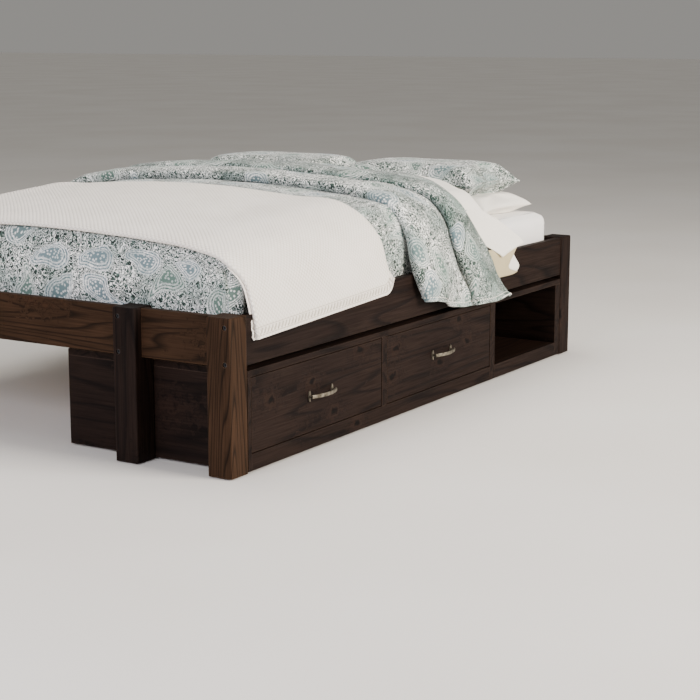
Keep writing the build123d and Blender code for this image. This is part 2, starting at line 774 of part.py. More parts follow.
for drawer, bay in bays.items():
    box_x = (bay[0] + slide_space, bay[1] - slide_space)
    inside_x = (box_x[0] + drawer_side_thickness, box_x[1] - drawer_side_thickness)
    middle = (bay[0] + bay[1]) / 2
    groove_x = (inside_x[0] - drawer_groove, inside_x[1] + drawer_groove)
    groove_z = (drawer_bottom_low, drawer_bottom_high)

    with BuildPart() as drawer_front:
        front_x = (bay[0] + drawer_reveal, bay[1] - drawer_reveal)
        block(front_x, (drawer_face, drawer_box_front), (drawer_low, drawer_high))
        fillet(drawer_front.faces().sort_by(Axis.Y)[0].edges(), edge_ease)
        block(groove_x, (drawer_box_front - drawer_groove, drawer_box_front), groove_z, Mode.SUBTRACT)
        for side in (-1, 1):
            hole_x = middle + side * pull_centres / 2
            hole_y = (drawer_face, drawer_box_front)
            rod_y(hole_x, hole_y, pull_height, pull_screw_diameter + 2 * fit, Mode.SUBTRACT)
    save(drawer_front, f"{drawer}_front")

    box_y = (drawer_box_front, drawer_box_back)
    for side_name, x, groove in (
        ("left", (box_x[0], inside_x[0]), (groove_x[0], inside_x[0])),
        ("right", (inside_x[1], box_x[1]), (inside_x[1], groove_x[1])),
    ):
        with BuildPart() as drawer_side:
            block(x, box_y, (drawer_side_low, drawer_side_high))
            block(groove, box_y, groove_z, Mode.SUBTRACT)
        save(drawer_side, f"{drawer}_{side_name}_side")

    with BuildPart() as drawer_back:
        back_y = (drawer_box_back - drawer_side_thickness, drawer_box_back)
        block(inside_x, back_y, (drawer_bottom_high, drawer_side_high))
    save(drawer_back, f"{drawer}_back")

    with BuildPart() as drawer_bottom:
        block(groove_x, (drawer_box_front - drawer_groove, drawer_box_back), groove_z)
    save(drawer_bottom, f"{drawer}_bottom")

    with BuildPart() as drawer_slides:
        for wall, box_side, inward in ((bay[0], box_x[0], 1), (bay[1], box_x[1], -1)):
            bar_z = (slide_low + slide_wall + slide_clearance, slide_high - slide_wall - slide_clearance)
            block((wall + inward * (slide_wall + slide_clearance), box_side), slide_run, bar_z)
    save(drawer_slides, f"{drawer}_slides")

    bow_pull(f"{drawer}_pull", middle, drawer_face)

    with BuildPart() as pull_screws:
        for side in (-1, 1):
            screw_x = middle + side * pull_centres / 2
            head_end = drawer_box_front + pull_screw_head_height
            rod_y(screw_x, (drawer_box_front, head_end), pull_height, pull_screw_head)
            shank = (drawer_face - pull_screw_bite, drawer_box_front)
            rod_y(screw_x, shank, pull_height, pull_screw_diameter)
    save(pull_screws, f"{drawer}_pull_screws")

# Casters: plate and two cheeks, an axle with a head at each side, a wheel turning on it
cheek_in = wheel_width / 2 + wheel_side_gap
cheek_out = cheek_in + fork_wall
with BuildPart() as caster_forks:
    for x, y in caster_spots.values():
        half_l = fork_plate_length / 2
        half_w = fork_plate_width / 2
        plate_z = (fork_top - fork_plate_thickness, fork_top)
        block((x - half_w, x + half_w), (y - half_l, y + half_l), plate_z)
        for side in (-1, 1):
            cheek_x = (x + side * cheek_in, x + side * cheek_out)
            cheek_z = (axle_height - fork_below_axle, fork_top - fork_plate_thickness)
            block(cheek_x, (y - fork_length / 2, y + fork_length / 2), cheek_z)
        rod_x((x - cheek_out, x + cheek_out), y, axle_height, axle_diameter, Mode.SUBTRACT)
save(caster_forks, "caster_forks")

with BuildPart() as caster_axles:
    for x, y in caster_spots.values():
        rod_x((x - cheek_out, x + cheek_out), y, axle_height, axle_diameter)
        for side in (-1, 1):
            head_x = (x + side * cheek_out, x + side * (cheek_out + axle_head))
            rod_x(head_x, y, axle_height, axle_diameter + 2 * axle_head)
save(caster_axles, "caster_axles")

for spot, (x, y) in caster_spots.items():
    with BuildPart() as wheel:
        rod_x((x - wheel_width / 2, x + wheel_width / 2), y, axle_height, wheel_diameter)
        fillet(wheel.edges().filter_by(GeomType.CIRCLE), wheel_round)
        bore = axle_diameter + 2 * axle_clearance
        rod_x((x - wheel_width / 2, x + wheel_width / 2), y, axle_height, bore, Mode.SUBTRACT)
    save(wheel, f"wheel_{spot}")
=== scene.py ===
import bpy
import json
import math
import numpy as np
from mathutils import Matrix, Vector, noise


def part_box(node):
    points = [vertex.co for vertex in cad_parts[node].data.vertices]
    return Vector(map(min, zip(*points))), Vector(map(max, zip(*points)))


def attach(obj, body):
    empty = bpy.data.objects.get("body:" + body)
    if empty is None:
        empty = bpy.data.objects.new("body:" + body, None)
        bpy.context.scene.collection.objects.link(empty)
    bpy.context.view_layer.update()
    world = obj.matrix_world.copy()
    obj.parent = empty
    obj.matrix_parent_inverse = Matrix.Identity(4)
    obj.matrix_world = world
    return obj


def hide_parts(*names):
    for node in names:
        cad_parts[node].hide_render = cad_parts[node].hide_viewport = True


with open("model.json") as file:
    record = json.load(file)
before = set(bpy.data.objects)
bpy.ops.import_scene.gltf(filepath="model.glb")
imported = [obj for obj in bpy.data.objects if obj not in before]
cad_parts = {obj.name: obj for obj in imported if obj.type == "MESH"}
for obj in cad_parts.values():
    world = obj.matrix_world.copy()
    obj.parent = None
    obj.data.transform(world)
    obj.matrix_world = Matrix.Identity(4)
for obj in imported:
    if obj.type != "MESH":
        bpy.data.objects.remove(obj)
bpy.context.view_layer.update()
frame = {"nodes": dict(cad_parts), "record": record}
nodes = frame["nodes"]
mm = 0.001
fullTurn = 2 * math.pi
print("stage: frame loaded", len(nodes), "nodes")


# sRGB hex to the linear colour that Blender's sockets take
def hexColour(text):
    shares = [int(text[i:i + 2], 16) / 255 for i in (1, 3, 5)]
    return [c / 12.92 if c <= 0.04045 else ((c + 0.055) / 1.055) ** 2.4 for c in shares] + [1.0]


# adds one node: settings by name, inputs in order or by socket name or number, each a value, a hex or a socket to link
def addNode(tree, kind, inputs=(), ramp=(), **settings):
    node = tree.nodes.new(kind)
    for key, value in settings.items():
        setattr(node, key, value)
    for key, value in inputs.items() if isinstance(inputs, dict) else enumerate(inputs):
        if isinstance(value, bpy.types.NodeSocket):
            tree.links.new(value, node.inputs[key])
        else:
            node.inputs[key].default_value = hexColour(value) if isinstance(value, str) else value
    for spot, (place, colour) in enumerate(ramp):
        stop = node.color_ramp.elements[spot] if spot < 2 else node.color_ramp.elements.new(place)
        stop.position = place
        stop.color = hexColour(colour)
    return node


def newMaterial(name):
    material = bpy.data.materials.new(name)
    material.use_nodes = True
    material.node_tree.nodes.clear()
    return material, material.node_tree


def addObject(name, data):
    item = bpy.data.objects.new(name, data)
    bpy.context.scene.collection.objects.link(item)
    return item


# turns a camera or lamp to look one way
def turnTo(item, way):
    item.rotation_euler = way.to_track_quat("-Z", "Y").to_euler()


# Camera at the photograph's viewing angle
cameraSet = {"lens": 85.78, "sensor": 36.0, "place": (-4.4245, -3.1909, 1.1462), "heading": 31.78, "dip": 10.87}
cameraData = bpy.data.cameras.new("camera")
cameraData.lens = cameraSet["lens"]
cameraData.sensor_width = cameraSet["sensor"]
camera = addObject("camera", cameraData)
heading, dip = math.radians(cameraSet["heading"]), math.radians(cameraSet["dip"])
camera.location = cameraSet["place"]
turnTo(camera, Vector((math.cos(heading) * math.cos(dip), math.sin(heading) * math.cos(dip), -math.sin(dip))))
bpy.context.scene.camera = camera
print("stage: camera")

# Soft studio light: wide panels and an even sky that meets the floor in the same tone
lightSet = {
    "key": {"place": (0.2, -5.9, 2.4), "aim": (0.0, -0.5, 0.4), "size": 2.6, "watts": 700, "tint": "#fff7ee"},
    "fill": {"place": (-5.2, -0.6, 2.2), "aim": (-0.9, -0.1, 0.4), "size": 2.4, "watts": 222, "tint": "#f6f4ff"},
    "top": {"place": (0.2, 0.6, 4.6), "aim": (0.0, 0.0, 0.4), "size": 3.2, "watts": 125, "tint": "#fffaf2"},
}
skySet = {"horizon": (0.03, "#dfdcd7"), "above": (0.3, "#f6f3ee"), "strength": 0.4}
for name, values in lightSet.items():
    data = bpy.data.lights.new(name, "AREA")
    data.size = values["size"]
    data.energy = values["watts"]
    data.color = hexColour(values["tint"])[:3]
    lamp = addObject(name, data)
    lamp.location = values["place"]
    turnTo(lamp, Vector(values["aim"]) - lamp.location)
sky = bpy.data.worlds.new("sky")
sky.use_nodes = True
skyTree = sky.node_tree
skyShade = skyTree.nodes["Background"]
skyWay = addNode(skyTree, "ShaderNodeTexCoord")
skyUp = addNode(skyTree, "ShaderNodeSeparateXYZ", (skyWay.outputs["Generated"],))
skyTone = addNode(skyTree, "ShaderNodeValToRGB", (skyUp.outputs["Z"],), (skySet["horizon"], skySet["above"]))
skyTree.links.new(skyTone.outputs["Color"], skyShade.inputs["Color"])
skyShade.inputs["Strength"].default_value = skySet["strength"]
bpy.context.scene.world = sky

# Plain pale floor: matt paint, faintly clouded
floorSet = {
    "half": 60.0,
    "drop": 0.4 * mm,
    "shade": (0.35, "#dedad4"),
    "pale": (0.65, "#e4e1dc"),
    "cloud": 1250.0,  # mm
    "rough": 0.7,
}
half = floorSet["half"]
floorMesh = bpy.data.meshes.new("floor")
corners = [(x, y, -floorSet["drop"]) for x, y in ((-half, -half), (half, -half), (half, half), (-half, half))]
floorMesh.from_pydata(corners, [], [(0, 1, 2, 3)])
floor = addObject("floor", floorMesh)
floorPaint, tree = newMaterial("pale matt floor")
place = addNode(tree, "ShaderNodeTexCoord").outputs["Object"]
cloud = addNode(tree, "ShaderNodeTexNoise", {"Vector": place, "Scale": 1000 / floorSet["cloud"], "Detail": 3.0})
tone = addNode(tree, "ShaderNodeValToRGB", (cloud.outputs["Fac"],), (floorSet["shade"], floorSet["pale"]))
paint = {"Base Color": tone.outputs["Color"], "Roughness": floorSet["rough"]}
shader = addNode(tree, "ShaderNodeBsdfPrincipled", paint)
addNode(tree, "ShaderNodeOutputMaterial", {"Surface": shader.outputs[0]})
floorMesh.materials.append(floorPaint)
print("stage: light and floor")

# Knotty pine, planed, sanded and stained. It shows growth rings, fibres and knots under a dull finish worn at the
# edges, which are also lightened there as painted highlight
woodSet = {
    "espresso": {
        "name": "pine stained espresso", "rough": (0.54, 0.7), "ringLong": 1429.0, "rings": 0.6,
        "dark": "#060302", "late": "#0e0807", "early": "#241914", "knot": "#281b15", "wornAndLitTone": "#41342c",
    },
    # a lighter copy of the espresso stain for the foot-end posts and end rails, while the same parts at the head end
    # keep the darker one: painted light that falls off towards the head
    "post": {
        "name": "pine of the bed ends stained espresso", "rough": (0.54, 0.7), "ringLong": 2857.0, "rings": 1.7,
        "dark": "#0e0803", "late": "#190f07", "early": "#3d2a1c", "knot": "#3e281a", "wornAndLitTone": "#594331",
    },
    "bare": {
        "name": "pine planed bare", "rough": (0.5, 0.66), "ringLong": 1429.0, "rings": 0.6,
        "dark": "#8a5f38", "late": "#c49a66", "early": "#dcbc8c", "knot": "#b98a58", "wornAndLitTone": "#e3c79c",
    },
    "ply": {
        "name": "plywood stained dark", "rough": (0.5, 0.64), "ringLong": 1429.0, "rings": 0.6,
        "dark": "#0c0705", "late": "#140c08", "early": "#21150e", "knot": "#2a190f", "wornAndLitTone": "#3a2416",
    },
    "ringWidth": 7.0,  # mm between two dark lines, seen on the face of a flat-sawn board
    "ringWave": 153.8,  # mm across the grain in which rings wander; ringLong is the same along it, rings how many
    "lateFrom": 0.55,  # share of a ring where it begins to darken
    "latest": 0.86,  # share of a ring where it is darkest
    "fibreWidth": 4.0,  # mm, coarser than real fibres so that they show in the render
    "fibreLong": 142.9,  # mm
    "streaks": 0.6,
    "blotch": 222.2,  # mm
    "blotchTone": 0.4,
    "knotSpacing": 240.0,  # mm
    "knotSize": 12.5,  # mm
    "knotLong": 0.55,  # width of a knot over its length
    "knotShift": (0.37, 0.11, 0.73),
    "markedKnot": (0.9, 1.5),  # how soon a marked knot ends along and across the grain
    "ruffle": 20.83,  # mm, along the uneven rim of a knot
    # in knot sizes from its middle: where its core fades out, where its halo fades in, how far rings bend round it
    "core": (0.7, 1.3),
    "halo": (3.6, 1.2),
    "haloTone": 0.45,
    "ringBend": (0.6, 5.5),
    "bentRings": 2.6,
    "edge": 3.0,  # mm
    # how far the edges lighten: partly wear, partly painted highlight
    "edgeWearAndHighlight": 0.8,
    "relief": 0.5,  # mm
    "gloss": 0.07,  # a thin rubbed stain has little
}


def pineWood(finish, axis, knots):
    tones = woodSet[finish]
    material, tree = newMaterial(tones["name"] + " grain " + axis)
    place = addNode(tree, "ShaderNodeTexCoord").outputs["Object"]

    def byGrain(along, across):
        return [along if letter == axis else across for letter in "XYZ"]

    net = 1000 / woodSet["knotSpacing"]
    wide = byGrain(1000 / tones["ringLong"], 1000 / woodSet["ringWave"])
    fine = byGrain(1000 / woodSet["fibreLong"], 1000 / woodSet["fibreWidth"])
    spots = byGrain(woodSet["knotLong"] * net, net)
    wideMap = addNode(tree, "ShaderNodeMapping", {"Vector": place, "Scale": wide}).outputs[0]
    fineMap = addNode(tree, "ShaderNodeMapping", {"Vector": place, "Scale": fine}).outputs[0]
    spotPlace = {"Vector": place, "Scale": spots, "Location": woodSet["knotShift"]}
    spotMap = addNode(tree, "ShaderNodeMapping", spotPlace).outputs[0]
    swellNoise = {"Vector": wideMap, "Scale": 1.0, "Detail": 2.0, "Roughness": 0.4}
    swell = addNode(tree, "ShaderNodeTexNoise", swellNoise).outputs["Fac"]
    fibreNoise = {"Vector": fineMap, "Scale": 1.0, "Detail": 4.0, "Roughness": 0.6}
    fibre = addNode(tree, "ShaderNodeTexNoise", fibreNoise).outputs["Fac"]
    blotchNoise = {"Vector": place, "Scale": 1000 / woodSet["blotch"], "Detail": 3.0}
    blotch = addNode(tree, "ShaderNodeTexNoise", blotchNoise).outputs["Fac"]
    # distance from the nearest knot, in knot sizes, with an uneven rim
    cell = addNode(tree, "ShaderNodeTexVoronoi", {"Vector": spotMap, "Scale": 1.0})
    reach = woodSet["knotSize"] / woodSet["knotSpacing"]
    near = addNode(tree, "ShaderNodeMath", (cell.outputs["Distance"], reach), operation="DIVIDE").outputs[0]
    for knot in knots:
        apart = addNode(tree, "ShaderNodeVectorMath", (place, knot), operation="SUBTRACT")
        shape = byGrain(*woodSet["markedKnot"])
        shaped = addNode(tree, "ShaderNodeVectorMath", (apart.outputs[0], shape), operation="MULTIPLY")
        length = addNode(tree, "ShaderNodeVectorMath", (shaped.outputs[0],), operation="LENGTH")
        sizes = (length.outputs["Value"], woodSet["knotSize"] * mm)
        share = addNode(tree, "ShaderNodeMath", sizes, operation="DIVIDE")
        near = addNode(tree, "ShaderNodeMath", (near, share.outputs[0]), operation="MINIMUM").outputs[0]
    ruffleNoise = {"Vector": place, "Scale": 1000 / woodSet["ruffle"], "Detail": 3.0}
    ruffle = addNode(tree, "ShaderNodeTexNoise", ruffleNoise).outputs["Fac"]
    ruffled = addNode(tree, "ShaderNodeMath", (ruffle, 2.8, -0.4), operation="MULTIPLY_ADD")
    near = addNode(tree, "ShaderNodeMath", (near, ruffled.outputs[0]), operation="MULTIPLY").outputs[0]
    # growth rings, bent round the knots
    bendSpan = (near, *woodSet["ringBend"], woodSet["bentRings"], 0.0)
    bend = addNode(tree, "ShaderNodeMapRange", bendSpan, interpolation_type="SMOOTHERSTEP")
    turns = woodSet["ringWave"] / woodSet["ringWidth"] * tones["rings"]
    phase = addNode(tree, "ShaderNodeMath", (swell, turns, bend.outputs[0]), operation="MULTIPLY_ADD")
    ring = addNode(tree, "ShaderNodeMath", (phase.outputs[0],), operation="FRACT").outputs[0]
    early, late = tones["early"], tones["late"]
    ringRamp = [(0.0, early), (woodSet["lateFrom"], early), (woodSet["latest"], late), (1.0, early)]
    grain = addNode(tree, "ShaderNodeValToRGB", (ring,), ringRamp)
    # over them fibres, uneven stain, and the halo and core of each knot
    streak = addNode(tree, "ShaderNodeMapRange", (fibre, 0.3, 0.7, 0.0, woodSet["streaks"]))
    dark = {0: streak.outputs[0], 6: grain.outputs[0], 7: tones["dark"]}
    streaked = addNode(tree, "ShaderNodeMix", dark, data_type="RGBA")
    patch = addNode(tree, "ShaderNodeMapRange", (blotch, 0.35, 0.7, 0.0, woodSet["blotchTone"]))
    uneven = {0: patch.outputs[0], 6: streaked.outputs[2], 7: late}
    stained = addNode(tree, "ShaderNodeMix", uneven, data_type="RGBA")
    haloSpan = (near, *woodSet["halo"], 0.0, woodSet["haloTone"])
    swirl = addNode(tree, "ShaderNodeMapRange", haloSpan, interpolation_type="SMOOTHSTEP")
    halo = {0: swirl.outputs[0], 6: stained.outputs[2], 7: tones["knot"]}
    ringed = addNode(tree, "ShaderNodeMix", halo, data_type="RGBA")
    middle = addNode(tree, "ShaderNodeMapRange", (near, *woodSet["core"], 1.0, 0.0))
    core = {0: middle.outputs[0], 6: ringed.outputs[2], 7: tones["dark"]}
    knotted = addNode(tree, "ShaderNodeMix", core, data_type="RGBA")
    # finish rubbed thin along the eased edges: the lighter tone there is partly real wear and partly painted highlight
    # where the edges catch light
    soft = addNode(tree, "ShaderNodeBevel", {"Radius": woodSet["edge"] * mm}, samples=4).outputs[0]
    flatFace = addNode(tree, "ShaderNodeNewGeometry").outputs["Normal"]
    agree = addNode(tree, "ShaderNodeVectorMath", (soft, flatFace), operation="DOT_PRODUCT")
    rubbedAndLitEdge = addNode(tree, "ShaderNodeMapRange", (agree.outputs["Value"], 0.98, 0.88, 0.0, woodSet["edgeWearAndHighlight"]))
    wornAndLitTone = {0: rubbedAndLitEdge.outputs[0], 6: knotted.outputs[2], 7: tones["wornAndLitTone"]}
    colour = addNode(tree, "ShaderNodeMix", wornAndLitTone, data_type="RGBA")
    gloss = addNode(tree, "ShaderNodeMapRange", (fibre, 0.3, 0.7, *tones["rough"]))
    rise = addNode(tree, "ShaderNodeMath", (ring, 0.5, fibre), operation="MULTIPLY_ADD")
    raisedGrain = {"Strength": 0.35, "Distance": woodSet["relief"] * mm, "Height": rise.outputs[0]}
    shader = addNode(tree, "ShaderNodeBsdfPrincipled", {
        "Base Color": colour.outputs[2],
        "Roughness": gloss.outputs[0],
        "Normal": addNode(tree, "ShaderNodeBump", raisedGrain).outputs[0],
        "IOR": 1.5,
        "Specular IOR Level": woodSet["gloss"],
    })
    addNode(tree, "ShaderNodeOutputMaterial", {"Surface": shader.outputs[0]})
    return material


# Coated, plated and cast metal, moulded nylon and pressed felt. They show fine grit and a cloudy, uneven gloss.
# Grit and its depth in mm, the grit coarser than real so that it shows
fittingSet = {
    "black_steel": {
        "name": "steel powder coated black", "pale": "#1c1c1d", "deep": "#131314", "metal": 0.0,
        "rough": (0.48, 0.62), "grit": 3.0, "depth": 0.08,
    },
    "zinc_steel": {
        "name": "steel zinc plated", "pale": "#b9bcc0", "deep": "#8f9398", "metal": 1.0,
        "rough": (0.28, 0.45), "grit": 6.0, "depth": 0.04,
    },
    "pewter": {
        "name": "pewter cast and aged", "pale": "#867f71", "deep": "#474238", "metal": 1.0,
        "rough": (0.46, 0.66), "grit": 7.0, "depth": 0.12,
    },
    "felt": {
        "name": "wool felt pressed", "pale": "#4a443e", "deep": "#39342f", "metal": 0.0,
        "rough": (0.92, 1.0), "grit": 2.5, "depth": 0.5,
    },
    "black_nylon": {
        "name": "nylon moulded black", "pale": "#222325", "deep": "#18191a", "metal": 0.0,
        "rough": (0.38, 0.5), "grit": 4.0, "depth": 0.05,
    },
    "cloud": 22.22,  # mm
}


def fittingFinish(slot):
    values = fittingSet[slot]
    material, tree = newMaterial(values["name"])
    place = addNode(tree, "ShaderNodeTexCoord").outputs["Object"]
    gritNoise = {"Vector": place, "Scale": 1000 / values["grit"], "Detail": 3.0}
    grit = addNode(tree, "ShaderNodeTexNoise", gritNoise).outputs["Fac"]
    cloudNoise = {"Vector": place, "Scale": 1000 / fittingSet["cloud"], "Detail": 2.0}
    cloud = addNode(tree, "ShaderNodeTexNoise", cloudNoise).outputs["Fac"]
    both = addNode(tree, "ShaderNodeMath", (grit, 0.5, cloud), operation="MULTIPLY_ADD")
    tones = [(0.55, values["deep"]), (0.9, values["pale"])]
    tone = addNode(tree, "ShaderNodeValToRGB", (both.outputs[0],), tones)
    low, high = values["rough"]
    gloss = addNode(tree, "ShaderNodeMapRange", (cloud, 0.3, 0.7, high, low))
    bump = addNode(tree, "ShaderNodeBump", {"Strength": 0.4, "Distance": values["depth"] * mm, "Height": grit})
    shader = addNode(tree, "ShaderNodeBsdfPrincipled", {
        "Base Color": tone.outputs["Color"],
        "Roughness": gloss.outputs[0],
        "Normal": bump.outputs[0],
        "Metallic": values["metal"],
    })
    addNode(tree, "ShaderNodeOutputMaterial", {"Surface": shader.outputs[0]})
    return material


# knots that stand out on the drawer fronts and the rail below them: metres along the bed and up
knotFace = -0.732
knotSpots = {
    "left_drawer_front": [(-0.657, 0.194), (-0.857, 0.18), (-0.54, 0.09), (-0.4, 0.24)],
    "right_drawer_front": [(0.203, 0.243), (-0.195, 0.213), (0.261, 0.162), (-0.217, 0.128), (0.078, 0.126)],
    "drawer_bottom_rail": [(-0.417, 0.03)],
}
finishOf = {"stained_pine": "espresso", "stained_ply": "ply", "bare_pine": "bare"}
finishes = {}
for part in frame["record"]["subparts"]:
    name, slot = part["node"], part["material_slot"]
    if slot in finishOf:
        low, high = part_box(name)
        spans = [b - a for a, b in zip(low, high)]
        axis = "XYZ"[spans.index(max(spans))]
        # only the foot end gets the lighter copy of the stain, as painted light; the head end stays darker as painted
        # shade
        footEndPaintedLit = low[0] < 0 and ("end_rail" in name or name.startswith("post_"))
        kind = "post" if footEndPaintedLit else finishOf[slot]
        key = name if name in knotSpots else kind + axis
        if key not in finishes:
            knots = [(x, knotFace, z) for x, z in knotSpots.get(name, ())]
            finishes[key] = pineWood(kind, axis, knots)
    elif slot in fittingSet:
        key = slot
        if key not in finishes:
            finishes[key] = fittingFinish(slot)
    else:
        continue
    for used in nodes[name].material_slots:
        used.material = finishes[key]
print("stage: wood and fittings")


# Cotton, roller printed and quilted. It shows sage and blue grey drops with off-white outlines, on scrolls with dark
# edges that fade here and there into a pale wash
printSet = {
    "drop": 165.0,  # mm between the drops
    "line": 8.5,  # mm between outlines, coarser than a real print so that they show
    "scroll": 15.5,  # mm, filler scrolls
    "scrollTurns": 29.0,
    "dot": 11.0,  # mm between the dots in a drop
    "thread": 2.381,  # mm, coarser than real ones so that they show
    "relief": 0.9,  # mm
    "cloud": 125.0,  # mm, patches of lighter and denser filler
    "sway": 0.03,  # metres that the drops are pulled out of line
    "swayWave": 111.1,  # mm
    "broken": 0.45,  # how far the scrolls break up the outlines
    "sage": "#4b675c",
    "blue": "#587076",
    "grey": "#3c534a",
    "haze": "#5a7068",
    "dark": "#131d19",
    "white": "#fdfcf8",
    "wash": "#b0bab6",
    # how patchy the filler is, how much white it has and how far the wash reaches: the face, then the second roll,
    # where less white is partly denser print and partly painted shade
    "pale": (1.4, -1.06, 0.5),
    "deep": (1.2, -1.36, 0.53),
    # a drop's shape, in shares of its cell: bend of its tip, narrowing, reach of its tip and foot, rim of the cell
    "tipBend": 1.5,
    "narrow": (1.8, 1.02),
    "tip": 0.46,
    "foot": -0.9,
    "rim": (-1.2, 0.31),
    "rimSoft": 0.1,
    # shares of a cell from the middle of a drop, where dots give way to outlines, and outlines to scrolls
    "toOutline": (0.13, 0.15),
    "toFiller": (0.27, 0.3),
}


# field that grows outwards from a bent drop in each cell of a loose net, in shares of the cell, and a chance per cell
def dropField(tree, flat):
    scale = 1000 / printSet["drop"]
    net = {"Vector": flat, "Scale": scale, "Randomness": 0.85}
    cell = addNode(tree, "ShaderNodeTexVoronoi", net, voronoi_dimensions="2D")
    edge = addNode(tree, "ShaderNodeTexVoronoi", net, voronoi_dimensions="2D", feature="DISTANCE_TO_EDGE")
    chance = addNode(tree, "ShaderNodeSeparateColor", (cell.outputs["Color"],))
    angle = addNode(tree, "ShaderNodeMath", (chance.outputs[0], fullTurn), operation="MULTIPLY")
    local = addNode(tree, "ShaderNodeVectorMath", (flat, cell.outputs["Position"]), operation="SUBTRACT")
    sized = addNode(tree, "ShaderNodeVectorMath", {0: local.outputs[0], "Scale": scale}, operation="SCALE")
    turn = {"Vector": sized.outputs[0], "Angle": angle.outputs[0]}
    turned = addNode(tree, "ShaderNodeVectorRotate", turn, rotation_type="Z_AXIS")
    axis = addNode(tree, "ShaderNodeSeparateXYZ", (turned.outputs[0],)).outputs
    # round at its foot, narrows and bends over towards its tip
    ahead = addNode(tree, "ShaderNodeMath", (axis[1], 0.0), operation="MAXIMUM").outputs[0]
    square = addNode(tree, "ShaderNodeMath", (ahead, ahead), operation="MULTIPLY").outputs[0]
    bent = addNode(tree, "ShaderNodeMath", (square, printSet["tipBend"], axis[0]), operation="MULTIPLY_ADD")
    narrow = addNode(tree, "ShaderNodeMath", (ahead, *printSet["narrow"]), operation="MULTIPLY_ADD")
    side = addNode(tree, "ShaderNodeMath", (bent.outputs[0], narrow.outputs[0]), operation="MULTIPLY")
    behind = addNode(tree, "ShaderNodeMath", (axis[1], printSet["foot"]), operation="MULTIPLY")
    forward = addNode(tree, "ShaderNodeMath", (axis[1], printSet["tip"]), operation="MULTIPLY")
    length = addNode(tree, "ShaderNodeMath", (forward.outputs[0], behind.outputs[0]), operation="MAXIMUM")
    spread = addNode(tree, "ShaderNodeCombineXYZ", (side.outputs[0], length.outputs[0]))
    away = addNode(tree, "ShaderNodeVectorMath", (spread.outputs[0],), operation="LENGTH").outputs["Value"]
    rim = addNode(tree, "ShaderNodeMath", (edge.outputs["Distance"], *printSet["rim"]), operation="MULTIPLY_ADD")
    field = addNode(tree, "ShaderNodeMath", (away, rim.outputs[0], printSet["rimSoft"]), operation="SMOOTH_MAX")
    return field.outputs[0], chance.outputs[1]


